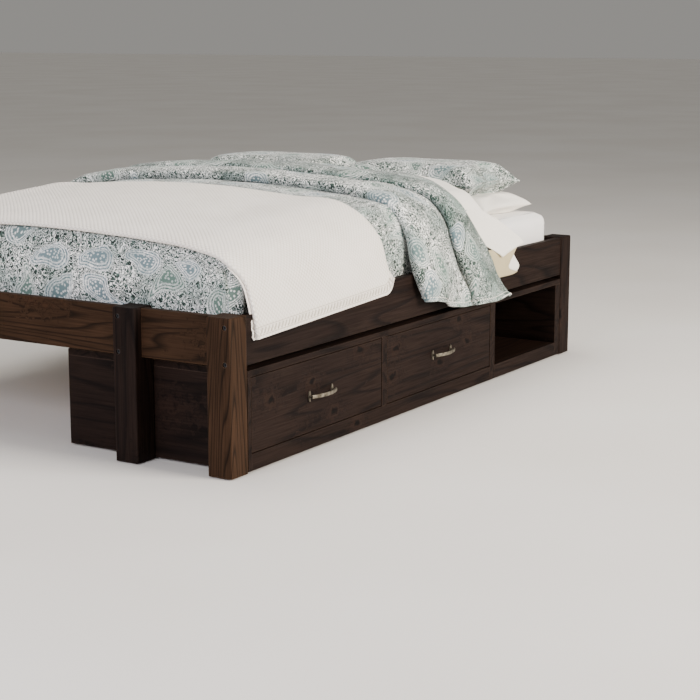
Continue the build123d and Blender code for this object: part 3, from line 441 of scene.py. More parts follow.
def printedCotton(name, ground):
    values = printSet
    patchy, whiteness, washed = values[ground]
    material, tree = newMaterial(name)
    cut = addNode(tree, "ShaderNodeUVMap", uv_map="cut").outputs[0]
    sway = addNode(tree, "ShaderNodeTexNoise", {"Vector": cut, "Scale": 1000 / values["swayWave"], "Detail": 2.0})
    pull = (sway.outputs["Color"], (values["sway"], values["sway"], 0.0), cut)
    flat = addNode(tree, "ShaderNodeVectorMath", pull, operation="MULTIPLY_ADD").outputs[0]
    drop, dropTint = dropField(tree, flat)
    lineTurns = fullTurn * values["drop"] / values["line"]
    lines = addNode(tree, "ShaderNodeMath", (drop, lineTurns), operation="MULTIPLY")
    lineWave = addNode(tree, "ShaderNodeMath", (lines.outputs[0],), operation="SINE")
    outlines = addNode(tree, "ShaderNodeMapRange", (lineWave.outputs[0], -0.2, 0.4))
    dotNet = {"Vector": flat, "Scale": 1000 / values["dot"], "Randomness": 0.8}
    dotCell = addNode(tree, "ShaderNodeTexVoronoi", dotNet, voronoi_dimensions="2D")
    dots = addNode(tree, "ShaderNodeMapRange", (dotCell.outputs["Distance"], 0.2, 0.36, 0.75, 0.05))
    scrollNoise = {"Vector": cut, "Scale": 1000 / values["scroll"], "Detail": 0.6, "Distortion": 1.4}
    scrolls = addNode(tree, "ShaderNodeTexNoise", scrollNoise)
    scrollTurn = addNode(tree, "ShaderNodeMath", (scrolls.outputs["Fac"], values["scrollTurns"]), operation="MULTIPLY")
    scrollWave = addNode(tree, "ShaderNodeMath", (scrollTurn.outputs[0],), operation="SINE").outputs[0]
    cloudNoise = {"Vector": cut, "Scale": 1000 / values["cloud"], "Detail": 2.0}
    cloud = addNode(tree, "ShaderNodeTexNoise", cloudNoise).outputs["Fac"]
    weight = addNode(tree, "ShaderNodeMath", (cloud, patchy, whiteness), operation="MULTIPLY_ADD")
    filled = addNode(tree, "ShaderNodeMath", (scrollWave, weight.outputs[0]), operation="ADD")
    filler = addNode(tree, "ShaderNodeMapRange", (filled.outputs[0], -0.3, 0.4)).outputs[0]
    # share of white, from the middle of a drop outwards: dots, then outlines, then scrolls
    toOutline = addNode(tree, "ShaderNodeMapRange", (drop, *values["toOutline"])).outputs[0]
    toFiller = addNode(tree, "ShaderNodeMapRange", (drop, *values["toFiller"])).outputs[0]
    broken = addNode(tree, "ShaderNodeMix", {0: values["broken"], 2: outlines.outputs[0], 3: filler})
    motif = addNode(tree, "ShaderNodeMix", {0: toOutline, 2: dots.outputs[0], 3: broken.outputs[0]})
    ink = addNode(tree, "ShaderNodeMix", {0: toFiller, 2: motif.outputs[0], 3: filler}).outputs[0]
    # below it the tinted drops, the ground and its dark edges
    leaf = addNode(tree, "ShaderNodeValToRGB", (dropTint,), [(0.35, values["sage"]), (0.65, values["blue"])])
    back = addNode(tree, "ShaderNodeValToRGB", (cloud,), [(0.35, values["grey"]), (0.65, values["haze"])])
    tints = {0: toFiller, 6: leaf.outputs[0], 7: back.outputs[0]}
    tinted = addNode(tree, "ShaderNodeMix", tints, data_type="RGBA")
    trough = addNode(tree, "ShaderNodeMapRange", (scrollWave, -0.55, -0.85))
    edging = addNode(tree, "ShaderNodeMath", (trough.outputs[0], toFiller), operation="MULTIPLY")
    edges = {0: edging.outputs[0], 6: tinted.outputs[2], 7: values["dark"]}
    drawn = addNode(tree, "ShaderNodeMix", edges, data_type="RGBA")
    washRamp = [(washed - 0.18, values["wash"]), (washed + 0.08, values["white"])]
    paper = addNode(tree, "ShaderNodeValToRGB", (sway.outputs["Fac"],), washRamp)
    inks = {0: ink, 6: drawn.outputs[2], 7: paper.outputs[0]}
    colour = addNode(tree, "ShaderNodeMix", inks, data_type="RGBA")
    weave = addNode(tree, "ShaderNodeTexNoise", {"Vector": cut, "Scale": 1000 / values["thread"], "Detail": 2.0})
    quilt = addNode(tree, "ShaderNodeMath", (ink, 0.5, weave.outputs["Fac"]), operation="MULTIPLY_ADD")
    quilted = {"Strength": 0.35, "Distance": values["relief"] * mm, "Height": quilt.outputs[0]}
    shader = addNode(tree, "ShaderNodeBsdfPrincipled", {
        "Base Color": colour.outputs[2],
        "Normal": addNode(tree, "ShaderNodeBump", quilted).outputs[0],
        "Roughness": 0.86,
        "Sheen Weight": 0.15,
        "Specular IOR Level": 0.2,
    })
    addNode(tree, "ShaderNodeOutputMaterial", {"Surface": shader.outputs[0]})
    return material


# White cotton cloth, woven. It shows small raised lozenges, with a deeper tone painted into their hollows as shade and
# a cloudy tone that differs at random. Their size and depth in mm, in the plain cloths coarser than a real weave so
# that it shows
clothSet = {
    "matelasse": {
        "name": "cotton matelasse woven", "pale": "#f6efe5", "deep": "#d3c9bb",
        "figure": 14.0, "depth": 2.4, "rough": 0.9,
    },
    "percale": {
        "name": "cotton percale ironed", "pale": "#f3efe6", "deep": "#e4dccb",
        "figure": 3.2, "depth": 0.15, "rough": 0.8,
    },
    # the sheet's own percale, darkened and warmed as painted shade for the layer that hangs below the turned-down end
    "paintedShadePercale": {
        "name": "cotton percale darkened with painted shade", "pale": "#bbae8a", "deep": "#9c8e6b",
        "figure": 3.2, "depth": 0.15, "rough": 0.84,
    },
    "thread": {
        "name": "cotton thread twisted", "pale": "#d0c8ba", "deep": "#a79d8d",
        "figure": 3.2, "depth": 0.3, "rough": 0.86,
    },
    "fitted": {
        "name": "cotton sheet stretched", "pale": "#efedea", "deep": "#e4e0db",
        "figure": 3.2, "depth": 0.15, "rough": 0.84,
    },
}
weaveSet = {"thread": 2.0, "cloud": 142.9, "sheen": 0.25, "gloss": 0.25}  # mm, threads coarser than real ones too


def wovenCloth(kind):
    values = clothSet[kind]
    material, tree = newMaterial(values["name"])
    flat = addNode(tree, "ShaderNodeUVMap", uv_map="cut").outputs[0]
    axis = addNode(tree, "ShaderNodeSeparateXYZ", (flat,)).outputs
    turn = math.pi * 1000 / values["figure"]
    waves = []
    for way in ("ADD", "SUBTRACT"):
        slanted = addNode(tree, "ShaderNodeMath", (axis[0], axis[1]), operation=way)
        run = addNode(tree, "ShaderNodeMath", (slanted.outputs[0], turn), operation="MULTIPLY")
        wave = addNode(tree, "ShaderNodeMath", (run.outputs[0],), operation="SINE")
        waves.append(addNode(tree, "ShaderNodeMath", (wave.outputs[0],), operation="ABSOLUTE").outputs[0])
    figure = addNode(tree, "ShaderNodeMath", waves, operation="MULTIPLY").outputs[0]
    thread = addNode(tree, "ShaderNodeTexNoise", {"Vector": flat, "Scale": 1000 / weaveSet["thread"], "Detail": 2.0})
    cloud = addNode(tree, "ShaderNodeTexNoise", {"Vector": flat, "Scale": 1000 / weaveSet["cloud"], "Detail": 3.0})
    height = addNode(tree, "ShaderNodeMath", (thread.outputs["Fac"], 0.25, figure), operation="MULTIPLY_ADD")
    # tone follows the raised figure, darker in its hollows as painted shade, and clouds at random
    shade = addNode(tree, "ShaderNodeMath", (cloud.outputs["Fac"], 0.6, figure), operation="MULTIPLY_ADD")
    tones = [(0.15, values["deep"]), (0.7, values["pale"])]
    tone = addNode(tree, "ShaderNodeValToRGB", (shade.outputs[0],), tones)
    raisedFigure = {"Strength": 0.8, "Distance": values["depth"] * mm, "Height": height.outputs[0]}
    shader = addNode(tree, "ShaderNodeBsdfPrincipled", {
        "Base Color": tone.outputs["Color"],
        "Normal": addNode(tree, "ShaderNodeBump", raisedFigure).outputs[0],
        "Roughness": values["rough"],
        "Sheen Weight": weaveSet["sheen"],
        "Specular IOR Level": weaveSet["gloss"],
    })
    addNode(tree, "ShaderNodeOutputMaterial", {"Surface": shader.outputs[0]})
    return material


paisley = printedCotton("cotton printed with paisley", "pale")
deepPaisleyShaded = printedCotton("cotton printed with paisley on a deeper ground", "deep")
cloths = {kind: wovenCloth(kind) for kind in clothSet}
print("stage: cloth materials")


# distance to each point of a line, or of each column of a grid, along it
def runAlong(points):
    legs = np.linalg.norm(np.diff(points, axis=0), axis=-1)
    return np.concatenate([np.zeros_like(legs[:1]), np.cumsum(legs, axis=0)])


# smooth open line through points, as evenly spaced points
def lineThrough(points, step):
    points = np.asarray(points, float)
    chord = runAlong(points)
    slopes = np.gradient(points, chord, axis=0)
    fine = np.linspace(0, chord[-1], 30 * len(points))  # close enough to measure along
    spot = np.clip(np.searchsorted(chord, fine, "right") - 1, 0, len(points) - 2)
    span = (chord[spot + 1] - chord[spot])[:, None]
    t = (fine - chord[spot])[:, None] / span
    curve = (2 * t**3 - 3 * t**2 + 1) * points[spot] + (t**3 - 2 * t**2 + t) * span * slopes[spot]
    curve += (3 * t**2 - 2 * t**3) * points[spot + 1] + (t**3 - t**2) * span * slopes[spot + 1]
    run = runAlong(curve)
    even = np.linspace(0, run[-1], max(3, int(run[-1] / step)))
    return np.stack([np.interp(even, run, curve[:, k]) for k in range(points.shape[1])], 1)


# smooth noise between -1 and 1, one value for each point
def ripple(points, size, seed):
    flat = np.asarray(points).reshape(-1, 3) / size + seed * 17.3  # each seed has its own part of the noise
    return np.array([noise.noise(Vector(p)) for p in flat]).reshape(np.asarray(points).shape[:-1])


# wrinkles in mm, each set with its height in mm, its size in metres and its seed
def wrinkles(points, sets):
    return sum(height * ripple(points, size, seed) for height, size, seed in sets)


def ease(value, low, high):
    t = np.clip((np.asarray(value, float) - low) / (high - low), 0, 1)
    return t * t * (3 - 2 * t)


# how far a place is below a level, 0 there and 1 at a lower one
def below(height, level, lower):
    return ease(-height, -level, -lower)


def bell(value, middle, high, wide):
    return high * np.exp(-(((value - middle) / wide) ** 2))


# value at a place, from pairs of place and value
def between(place, pairs):
    return np.interp(place, *zip(*pairs))


# shares from stop to stop, each stop with its count of points up to the next one
def spaced(stops):
    spans = [np.linspace(low, high, count)[:-1] for (low, count), (high, last) in zip(stops, stops[1:])]
    return np.concatenate(spans + [[stops[-1][0]]])


# outward directions of a grid of points, rows along the bed and columns from its front to its back
def gridNormals(grid):
    normals = np.cross(np.gradient(grid, axis=0), np.gradient(grid, axis=1))
    return normals / np.maximum(np.linalg.norm(normals, axis=2, keepdims=True), 1e-9)


# grid moved outwards, by some mm at each point
def raised(grid, lift):
    return grid + gridNormals(grid) * (lift * mm)[..., None]


rowStep, edgeStep = 2.5, 6.0  # mm between the points of a measured row or edge


# one row of cloth across the bed from hem to hem, from its front half in mm, the middle of the bed first: distance of
# each point from the middle and from the nearer hem along the cloth, and its place across and up
def clothRow(half, fromHem, count):
    line = lineThrough(np.vstack([half[::-1] * (-1, 1), half[1:]]) * mm, rowStep * mm)
    run = runAlong(line)
    middle = np.linspace(fromHem[-1], run[-1] - fromHem[-1], count)[1:-1]
    at = np.concatenate([fromHem, middle, run[-1] - fromHem[::-1]])
    y, z = (np.interp(at, run, line[:, k]) for k in (0, 1))
    return at - run[-1] / 2, np.minimum(at, run[-1] - at), y, z


# faces between the points of a grid, and the points round its rim
def quadsOf(index):
    corners = [index[:-1, :-1], index[1:, :-1], index[1:, 1:], index[:-1, 1:]]
    return np.stack(corners, -1).reshape(-1, 4)


def rimOf(index):
    return np.concatenate([index[0, :], index[1:, -1], index[-1, -2::-1], index[-2:0:-1, 0]])


# mesh object from points and faces, with its cut-cloth coordinates
def loosePiece(name, points, faces, cut, material):
    mesh = bpy.data.meshes.new(name)
    mesh.from_pydata(np.asarray(points).tolist(), [], [list(map(int, f)) for f in faces])
    layer = mesh.uv_layers.new(name="cut")
    corner = np.empty(len(mesh.loops), int)
    mesh.loops.foreach_get("vertex_index", corner)
    layer.data.foreach_set("uv", np.asarray(cut, float)[corner].ravel())
    mesh.polygons.foreach_set("use_smooth", [True] * len(mesh.polygons))
    mesh.materials.append(material)
    mesh.update()
    piece = addObject(name, mesh)
    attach(piece, "bed")
    return piece


# the same from a grid of points, closed below where it has a thickness in mm
def clothPiece(name, grid, cut, material, thick=0.0):
    rows, cols = grid.shape[:2]
    points = grid.reshape(-1, 3)
    coords = cut.reshape(-1, 2)
    index = np.arange(rows * cols).reshape(rows, cols)
    faces = quadsOf(index)
    if thick:
        count = rows * cols
        points = np.concatenate([points, (grid - gridNormals(grid) * (thick * mm)).reshape(-1, 3)])
        coords = np.concatenate([coords, coords])
        rim = rimOf(index)
        after = np.roll(rim, -1)
        edge = np.stack([rim, after, after + count, rim + count], -1)
        faces = np.concatenate([faces, faces[:, ::-1] + count, edge])
    return loosePiece(name, points, faces, coords, material)


# rounded cloth edge or piping: a tube along a line, its radius in mm, closed into a loop or capped
def beadPiece(name, line, radius, closed, material, sides=8):
    radius = radius * mm
    line = np.asarray(line, float)
    ahead = np.roll(line, -1, 0) - np.roll(line, 1, 0) if closed else np.gradient(line, axis=0)
    ahead /= np.maximum(np.linalg.norm(ahead, axis=1, keepdims=True), 1e-9)
    across = np.cross(ahead, (0.13, 0.21, 0.97))  # a way that no line here follows
    across /= np.maximum(np.linalg.norm(across, axis=1, keepdims=True), 1e-9)
    upward = np.cross(across, ahead)
    run = runAlong(line)
    points, cut = [], []
    for k in range(sides):
        turn = 2 * math.pi * k / sides
        points.append(line + radius * (math.cos(turn) * across + math.sin(turn) * upward))
        cut.append(np.stack([run, np.full_like(run, turn * radius)], -1))
    points = np.stack(points, 1).reshape(-1, 3)
    cut = np.stack(cut, 1).reshape(-1, 2)
    count = len(line)
    faces = []
    for i in range(count if closed else count - 1):
        a, b = i * sides, (i + 1) % count * sides
        faces += [(a + k, a + (k + 1) % sides, b + (k + 1) % sides, b + k) for k in range(sides)]
    if not closed:
        faces += [tuple(range(sides - 1, -1, -1)), tuple(range((count - 1) * sides, count * sides))]
    return loosePiece(name, points, faces, cut, material)


# a stitch as rings along its length: share of half its length, share of its width
stitchRings = ((-1, 0.4), (-0.75, 0.85), (0, 1), (0.75, 0.85), (1, 0.4))


# rows of raised stitches along lines on cloth, each stitch a small rounded bar
def stitchRow(name, rows, values, material, sides=6):
    slant = math.radians(values["slant"])
    points, faces, cut = [], [], []
    for line, normals in rows:
        run = runAlong(line)
        for spot in np.arange(values["spacing"], run[-1] / mm - values["spacing"], values["spacing"]) * mm:
            centre = np.array([np.interp(spot, run, line[:, k]) for k in range(3)])
            normal = np.array([np.interp(spot, run, normals[:, k]) for k in range(3)])
            ahead = np.array([np.interp(spot + mm, run, line[:, k]) for k in range(3)]) - centre
            ahead /= np.linalg.norm(ahead)
            way = math.cos(slant) * ahead + math.sin(slant) * np.cross(normal, ahead)
            over = np.cross(normal, way)
            base = len(points)
            for share, size in stitchRings:
                for k in range(sides):
                    turn = 2 * math.pi * k / sides
                    rise = size * values["height"] * math.sin(turn)
                    wide = size * values["width"] * math.cos(turn)
                    offset = way * share * values["length"] / 2 + over * wide / 2 + normal * rise / 2
                    points.append(centre + mm * offset)
                    cut.append((spot + share * 4 * mm, wide * mm))
            for a in range(base, len(points) - sides, sides):
                b = a + sides
                faces += [(a + k, a + (k + 1) % sides, b + (k + 1) % sides, b + k) for k in range(sides)]
            faces.append(tuple(range(base + sides - 1, base - 1, -1)))
            faces.append(tuple(range(len(points) - sides, len(points))))
    return loosePiece(name, points, faces, cut, material)


# The heap of bedding from foot to head, in mm: place along the bed, height over the mattress edge, crown
heapSet = {
    "places": (-963.8, -853.8, -613.8, -249.0, 325.0, 385.0, 445.0, 490.0, 515.0, 530.0, 538.0),
    "heights": (62, 70, 92, 115, 115, 115, 113, 106, 90, 62, 28),
    "crowns": (31, 33, 37, 40, 40, 40, 39, 37, 34, 28, 20),
    "edge": 513.0,
    "low": 470.0,
    "side": 697.3,
    "run": 107.0,  # how far in from the side it is rounded
    "footRun": 52.0,
}


def heapAt(x):
    places, heights, crowns = (np.array(heapSet[key]) * mm for key in ("places", "heights", "crowns"))
    return heapSet["edge"] * mm + np.interp(x, places, heights), np.interp(x, places, crowns)


# how much the crown adds between the rounded sides
def heapArch(y, crown):
    flat = heapSet["side"] * mm - heapSet["run"] * mm
    return crown * (1 - (np.clip(y, -flat, flat) / flat) ** 2)


# box points rounded over at the top, the sides and the foot, and crowned
def roundHeap(points, footX):
    x, y, z = points[..., 0], points[..., 1], points[..., 2]
    top, crown = heapAt(x)
    low, side, run, footRun = (heapSet[key] * mm for key in ("low", "side", "run", "footRun"))
    qx, qy, qz = np.maximum(x, footX + footRun), np.clip(y, -side + run, side - run), np.minimum(z, low)
    rise = top - low
    dx, dy, dz = (x - qx) / footRun, (y - qy) / run, np.maximum(z - low, 0) / rise
    size = np.maximum(np.sqrt(dx**2 + dy**2 + dz**2), 1e-9)
    scale = np.where(size > 1e-6, np.maximum(np.abs(dx), np.maximum(np.abs(dy), dz)) / size, 0)
    px, py, pz = qx + footRun * dx * scale, qy + run * dy * scale, qz + rise * dz * scale
    return np.stack([px, py, pz + heapArch(y, crown) * ease((pz - low) / rise, 0.3, 1.0)], -1)


# height of the heap's upper surface
def heapTop(x, y):
    top, crown = heapAt(x)
    low, side, run = (heapSet[key] * mm for key in ("low", "side", "run"))
    over = np.clip((np.abs(y) - side + run) / run, 0, 1)
    return low + (top - low) * np.sqrt(1 - over**2) + heapArch(y, crown)


# Comforter, tucked in at the foot and along both rails, in mm
comforterSet = {
    "foot": -963.8,
    "end": 538.0,
    "tuck": 412.0,
    "cell": 9.0,
    "downSides": 20,  # rows from the tuck to the top
    "wrinkles": [(3.2, 0.16, 3), (1.6, 0.06, 4)],
    "underCoverlet": (-925.0, -250.0),
    "pressed": 7.0,  # how far the coverlet presses it in
    "pressRun": 14.0,  # along the bed, until it is pressed in
    "footWrinkles": [(1.6, 0.13, 9)],
    "footSwell": 2.8,
    "footFlat": (600.0, 690.0),  # from the middle of the bed, where its swell dies out
    # height, and distance from the middle, of the corner pleat's lip
    "pleat": [(562, 650), (540, 668), (510, 690), (480, 708), (450, 719)],
    "lip": 8.0,
    "lap": 30.0,  # how far the foot face goes under the lip
    "lapRun": 8.0,
    "cornerRun": 12.0,
    # place along the bed of the head edge, by the distance from the middle, drawn in under the turned-down sheet
    "headEdge": [(0, 534), (400, 534), (450, 526), (530, 488), (590, 452), (640, 436), (700, 432)],
    "drawnFrom": 240.0,
}
footX, endX, tuckZ, cell, drawnFrom = (comforterSet[key] * mm for key in ("foot", "end", "tuck", "cell", "drawnFrom"))
side = heapSet["side"] * mm
xs = np.linspace(footX, endX, int((endX - footX) / cell))
ys = np.linspace(-side, side, int(2 * side / cell))
tops = heapAt(xs)[0]
drops = np.linspace(0, 1, comforterSet["downSides"])
# one sheet over the top and both sides, its columns running down to the tuck on either side
rows = []
cuts = []
for x, top in zip(xs, tops):
    front = [(x, -side, tuckZ + (top - tuckZ) * d) for d in drops[:-1]]
    back = [(x, side, top - (top - tuckZ) * d) for d in drops[1:]]
    rows.append(front + [(x, y, top) for y in ys] + back)
    frontCut = [(x, -side - (top - p[2])) for p in front]
    backCut = [(x, side + top - p[2]) for p in back]
    cuts.append(frontCut + [(x, y) for y in ys] + backCut)
overTop = roundHeap(np.array(rows), footX)
pressRun = comforterSet["pressRun"] * mm
start, stop = (place * mm for place in comforterSet["underCoverlet"])
covered = ease(overTop[..., 0], start, start + pressRun) * (1 - ease(overTop[..., 0], stop - pressRun, stop))
overTop = raised(overTop, wrinkles(overTop, comforterSet["wrinkles"]) - comforterSet["pressed"] * covered)
headEdge = between(np.abs(overTop[..., 1]) / mm, comforterSet["headEdge"]) * mm
past = np.maximum(overTop[..., 0] - drawnFrom, 0)
overTop[..., 0] -= past * (1 - (headEdge - drawnFrom) / (endX - drawnFrom))
comforter = clothPiece("comforter_tucked", overTop, np.array(cuts), paisley)
# foot face, rounded into the corners, and lapped under the corner pleats
rows = []
cuts = []
for d in drops:
    z = tuckZ + (tops[0] - tuckZ) * d
    rows.append([(footX, y, z) for y in ys])
    cuts.append([(footX - (tops[0] - z), y) for y in ys])
flatFoot = np.array(rows)
footFace = roundHeap(flatFoot, footX)
upFace = np.clip((footFace[..., 2] - tuckZ) / (tops[0] - tuckZ), 0, 1)
swell = wrinkles(footFace, comforterSet["footWrinkles"]) + comforterSet["footSwell"] * np.sin(np.pi * upFace)
footFace[..., 0] -= swell * mm * (1 - ease(np.abs(footFace[..., 1]) / mm, *comforterSet["footFlat"]))
flatY = np.abs(flatFoot[..., 1])
lipY = between(flatFoot[..., 2] / mm, comforterSet["pleat"][::-1]) * mm
lap, lapRun, cornerRun = (comforterSet[key] * mm for key in ("lap", "lapRun", "cornerRun"))
pleat = ease(flatY - lipY + lap, 0.0, lapRun) * (1 - ease(flatY, side - cornerRun, side))
footNormals = gridNormals(footFace)
footFace -= footNormals * (pleat * comforterSet["lip"] * mm)[..., None] * np.sign(footNormals[..., :1])
comforterFoot = clothPiece("comforter_foot", footFace, np.array(cuts), paisley)
print("stage: tucked comforter")

# Turned-back layer of the comforter: two soft rolls across the bed, hanging over both rails to a stitched hem, in mm
foldSet = {
    # distance from the middle of the bed, and height
    "line": [
        (0, 672), (200, 667), (400, 656), (540, 640), (615, 618), (665, 583), (697, 535), (717, 480), (734, 425),
        (749, 370), (760, 315), (766, 284),
    ],
    # place along the bed of each edge, by the distance from the middle of the bed along the cloth
    "left": [
        (0, -28), (300, -29), (450, -30), (560, -38), (680, -53), (760, -66), (850, -76), (900, -72), (950, -54),
        (1010, -36),
    ],
    "crease": [
        (0, 160), (300, 162), (457, 168), (560, 192), (630, 202), (700, 200), (815, 202), (880, 218), (940, 236),
        (1010, 250),
    ],
    "right": [
        (0, 428), (350, 430), (460, 425), (530, 385), (590, 330), (650, 308), (710, 314), (790, 354), (862, 396),
        (922, 425), (960, 462), (1010, 530),
    ],
    # share of the first roll's width, from 1 on of the second's, and height over the line
    "rolls": [
        (0, -8), (0.012, -4), (0.03, 8), (0.055, 23), (0.1, 31), (0.3, 34), (0.7, 23), (0.93, 5), (1.0, -6),
        (1.012, 2), (1.03, 18), (1.055, 34), (1.1, 42), (1.3, 40), (1.6, 29), (1.9, 21), (1.97, 17), (2.0, 7),
    ],
    "rows": [(0, 12), (0.12, 26), (0.93, 6), (1.0, 14), (1.12, 28), (1.92, 8), (2.0, 0)],
    "columns": 232,
    "hem": [(0, 336), (0.28, 320), (0.36, 304), (0.8, 287), (1.3, 281), (2.0, 284)],
    "fromHem": (0, 3, 6, 9, 11.5, 14, 16.5, 19, 23, 28, 35, 44, 54),
    "wrinkles": [(5.0, 0.17, 5), (3.0, 0.07, 6)],
    # where it hangs, heights in metres: from lying to hanging, flatter rolls, waves along the hem, less lean
    "hangs": (0.42, 0.56),
    "flatter": (0.42, 0.3),
    "waved": (0.48, 0.3),
    "upright": (0.42, 0.32),
    "flatterShare": 0.5,
    "uprightShare": 0.6,
    "wave": (10.0, 5.2, 0.7),  # height, turns and start
    "overhang": (34.0, 46.0),  # how far each roll leans over towards the foot
    "leanAt": 0.045,  # share of its width
    "thick": 10.0,
    "seam": 14.0,
    "seamDeep": 4.0,
    "seamWide": 3.2,
    "binding": 3.8,
    "bindingRise": 4.5,  # keeps it clear of the unit that rolls out below
    "cutShift": (0.4, 0.2),  # metres, for another part of the print
}
# mm, coarser than real stitches so that they show
hemStitch = {"spacing": 11.0, "length": 6.5, "width": 3.6, "height": 3.4, "slant": 0.0}
steps = spaced(foldSet["rows"])
halfLine = np.array(foldSet["line"], float)
fromHem = np.array(foldSet["fromHem"]) * mm
edgeLines = [lineThrough(foldSet[key], edgeStep).T for key in ("left", "crease", "right")]
rows = []
cuts = []
hemRuns = []
for s in steps:
    hem = between(s, foldSet["hem"])
    keep = halfLine[halfLine[:, 1] > hem + 6]  # not so near the hem that the line kinks
    last = halfLine[len(keep)] if len(keep) < len(halfLine) else halfLine[-1]
    share = (keep[-1, 1] - hem) / max(keep[-1, 1] - last[1], 1)
    end = (keep[-1, 0] + share * (last[0] - keep[-1, 0]), hem)
    out, hemRun, y, z = clothRow(np.vstack([keep, end]), fromHem, foldSet["columns"])
    left, crease, right = (np.interp(np.abs(out) / mm, *edgeLine) * mm for edgeLine in edgeLines)
    x = left + s * (crease - left) if s < 1 else crease + (s - 1) * (right - crease)
    rows.append(np.stack([x, y, z], -1))
    cuts.append(np.stack([x, out], -1))
    hemRuns.append(hemRun / mm)
base = np.array(rows)
height = base[..., 2]
hang = 1 - ease(height, *foldSet["hangs"])
flatter = 1 - foldSet["flatterShare"] * hang * below(height, *foldSet["flatter"])
lift = between(steps, foldSet["rolls"])[:, None] * flatter + wrinkles(base, foldSet["wrinkles"])
waveHigh, waveTurns, waveStart = foldSet["wave"]
lift += hang * waveHigh * np.sin(steps * waveTurns + waveStart)[:, None] * below(height, *foldSet["waved"])
lift -= bell(np.array(hemRuns), foldSet["seam"], foldSet["seamDeep"], foldSet["seamWide"])
foldGrid = raised(base, lift)
(first, second), leanAt = foldSet["overhang"], foldSet["leanAt"]
lean = bell(steps, leanAt, first, leanAt) + bell(steps, 1 + leanAt, second, leanAt) * (steps > 1.0)
upright = 1 - foldSet["uprightShare"] * hang * below(height, *foldSet["upright"])
foldGrid[..., 0] -= lean[:, None] * upright * mm
foldCuts = np.array(cuts) + foldSet["cutShift"]
acrossRun = runAlong(foldGrid)
foldCuts[..., 0] = foldSet["cutShift"][0] + acrossRun - acrossRun[len(steps) // 2]
comforterFold = clothPiece("comforter_fold", foldGrid, foldCuts, paisley, foldSet["thick"])
foldNormals = gridNormals(foldGrid)
seamAt = int(np.argmin(np.abs(fromHem / mm - foldSet["seam"])))
seams = [(foldGrid[:, k], foldNormals[:, k]) for k in (seamAt, -1 - seamAt)]
stitchRow("comforter_hem_stitches", seams, hemStitch, cloths["percale"])
for word, k in (("front", 0), ("back", -1)):
    hemLine = foldGrid[:, k] - foldNormals[:, k] * (foldSet["thick"] * 0.5 * mm) + (0, 0, foldSet["bindingRise"] * mm)
    beadPiece("comforter_binding_" + word, hemLine, foldSet["binding"], False, cloths["percale"])
# the second roll takes the print on a deeper ground: partly a denser part of the print, partly painted shade where the
# roll turns away from the light
comforterFold.data.materials.append(deepPaisleyShaded)
turned = np.repeat(steps[:-1] >= 1.0, foldGrid.shape[1] - 1)
marks = np.zeros(len(comforterFold.data.polygons), int)
marks[:2 * len(turned)] = np.concatenate([turned, turned])
comforterFold.data.polygons.foreach_set("material_index", marks)
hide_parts("comforter")
print("stage: turned-back comforter")

# Coverlet across the foot half, hanging over both rails, in mm
coverletSet = {
    # distance from the middle of the bed, and height, at either end
    "foot": [(0, 622), (200, 618), (400, 607), (560, 591), (645, 569), (700, 522), (731, 440), (747, 356)],
    "head": [(0, 676), (200, 670), (400, 656), (580, 640), (660, 596), (706, 542), (738, 450), (751, 388)],
    "start": (-944.0, -928.0),  # on top, and where it hangs
    "end": -241.0,
    "rows": 110,
    "columns": 250,
    "fromHem": (0, 2, 4, 6, 8, 10, 14, 19, 24, 28, 30, 32, 36, 42, 50),
    "heap": (575.0, 628.0),  # height of the heap at either end
    "follows": 500.0,  # height above which it follows the heap
    "onTop": (0.48, 0.57),  # metres, from hanging to lying
    "footDip": 0.8,
    "wrinkles": [(2.2, 0.22, 11), (0.9, 0.08, 12)],
    "thick": 7.0,
    "corner": 40.0,
    "bead": 6.0,
    "band": (8.0, 30.0),  # above the hem, two sewn lines with slanted stitches between them
    "sewnDeep": 3.2,
    "sewnWide": 2.4,
    "thread": 1.5,
    "turnUnder": [(-12, 11), (-11, 9), (-7, 8.5), (0, 9), (9, 10)],  # along the bed from the edge and below the face
    "turnThick": 2.5,
    "turnTop": 0.55,  # metres, height below which the edge is turned under
}
# mm, slanted between the sewn lines
ropeStitch = {"spacing": 16.0, "length": 20.0, "width": 5.0, "height": 6.0, "slant": 50.0}
footLine, headLine = np.array(coverletSet["foot"], float), np.array(coverletSet["head"], float)
fromHem = np.array(coverletSet["fromHem"]) * mm
(topStart, start), end, corner = coverletSet["start"], coverletSet["end"], coverletSet["corner"]
heapFoot, heapHead = coverletSet["heap"]
footRun = heapSet["footRun"] * mm
rows = []
cuts = []
hemRuns = []
for share in np.arange(coverletSet["rows"]) / (coverletSet["rows"] - 1):
    x = start * mm + share * (end - start) * mm
    rise = (heapAt(x)[0] / mm - heapFoot) / (heapHead - heapFoot)
    mix = np.where(footLine[:, 1] > coverletSet["follows"], rise, share)[:, None]
    half = footLine + (headLine - footLine) * mix
    toEnd = (end * mm - x) / mm
    if toEnd < corner:
        half[-1, 1] += corner - math.sqrt(max(corner**2 - (corner - toEnd) ** 2, 0))
    out, hemRun, y, z = clothRow(half, fromHem, coverletSet["columns"])
    onTop = ease(z, *coverletSet["onTop"])
    px = x + (topStart - start) * mm * onTop * (1 - share) ** 6  # only near the foot edge
    footDip = np.clip((footX + footRun - px) / footRun, 0, 1)
    z = z - onTop * footRun * (1 - np.sqrt(1 - footDip**2)) * coverletSet["footDip"]
    rows.append(np.stack([px, y, z], -1))
    cuts.append(np.stack([np.full_like(y, x), out], -1))
    hemRuns.append(hemRun / mm)
base = np.array(rows)
lift = wrinkles(base, coverletSet["wrinkles"])
for sewn in coverletSet["band"]:
    lift -= bell(np.array(hemRuns), sewn, coverletSet["sewnDeep"], coverletSet["sewnWide"])
coverletGrid = raised(base, lift)
matelasse, thread, slot = cloths["matelasse"], cloths["thread"], "white_matelasse"
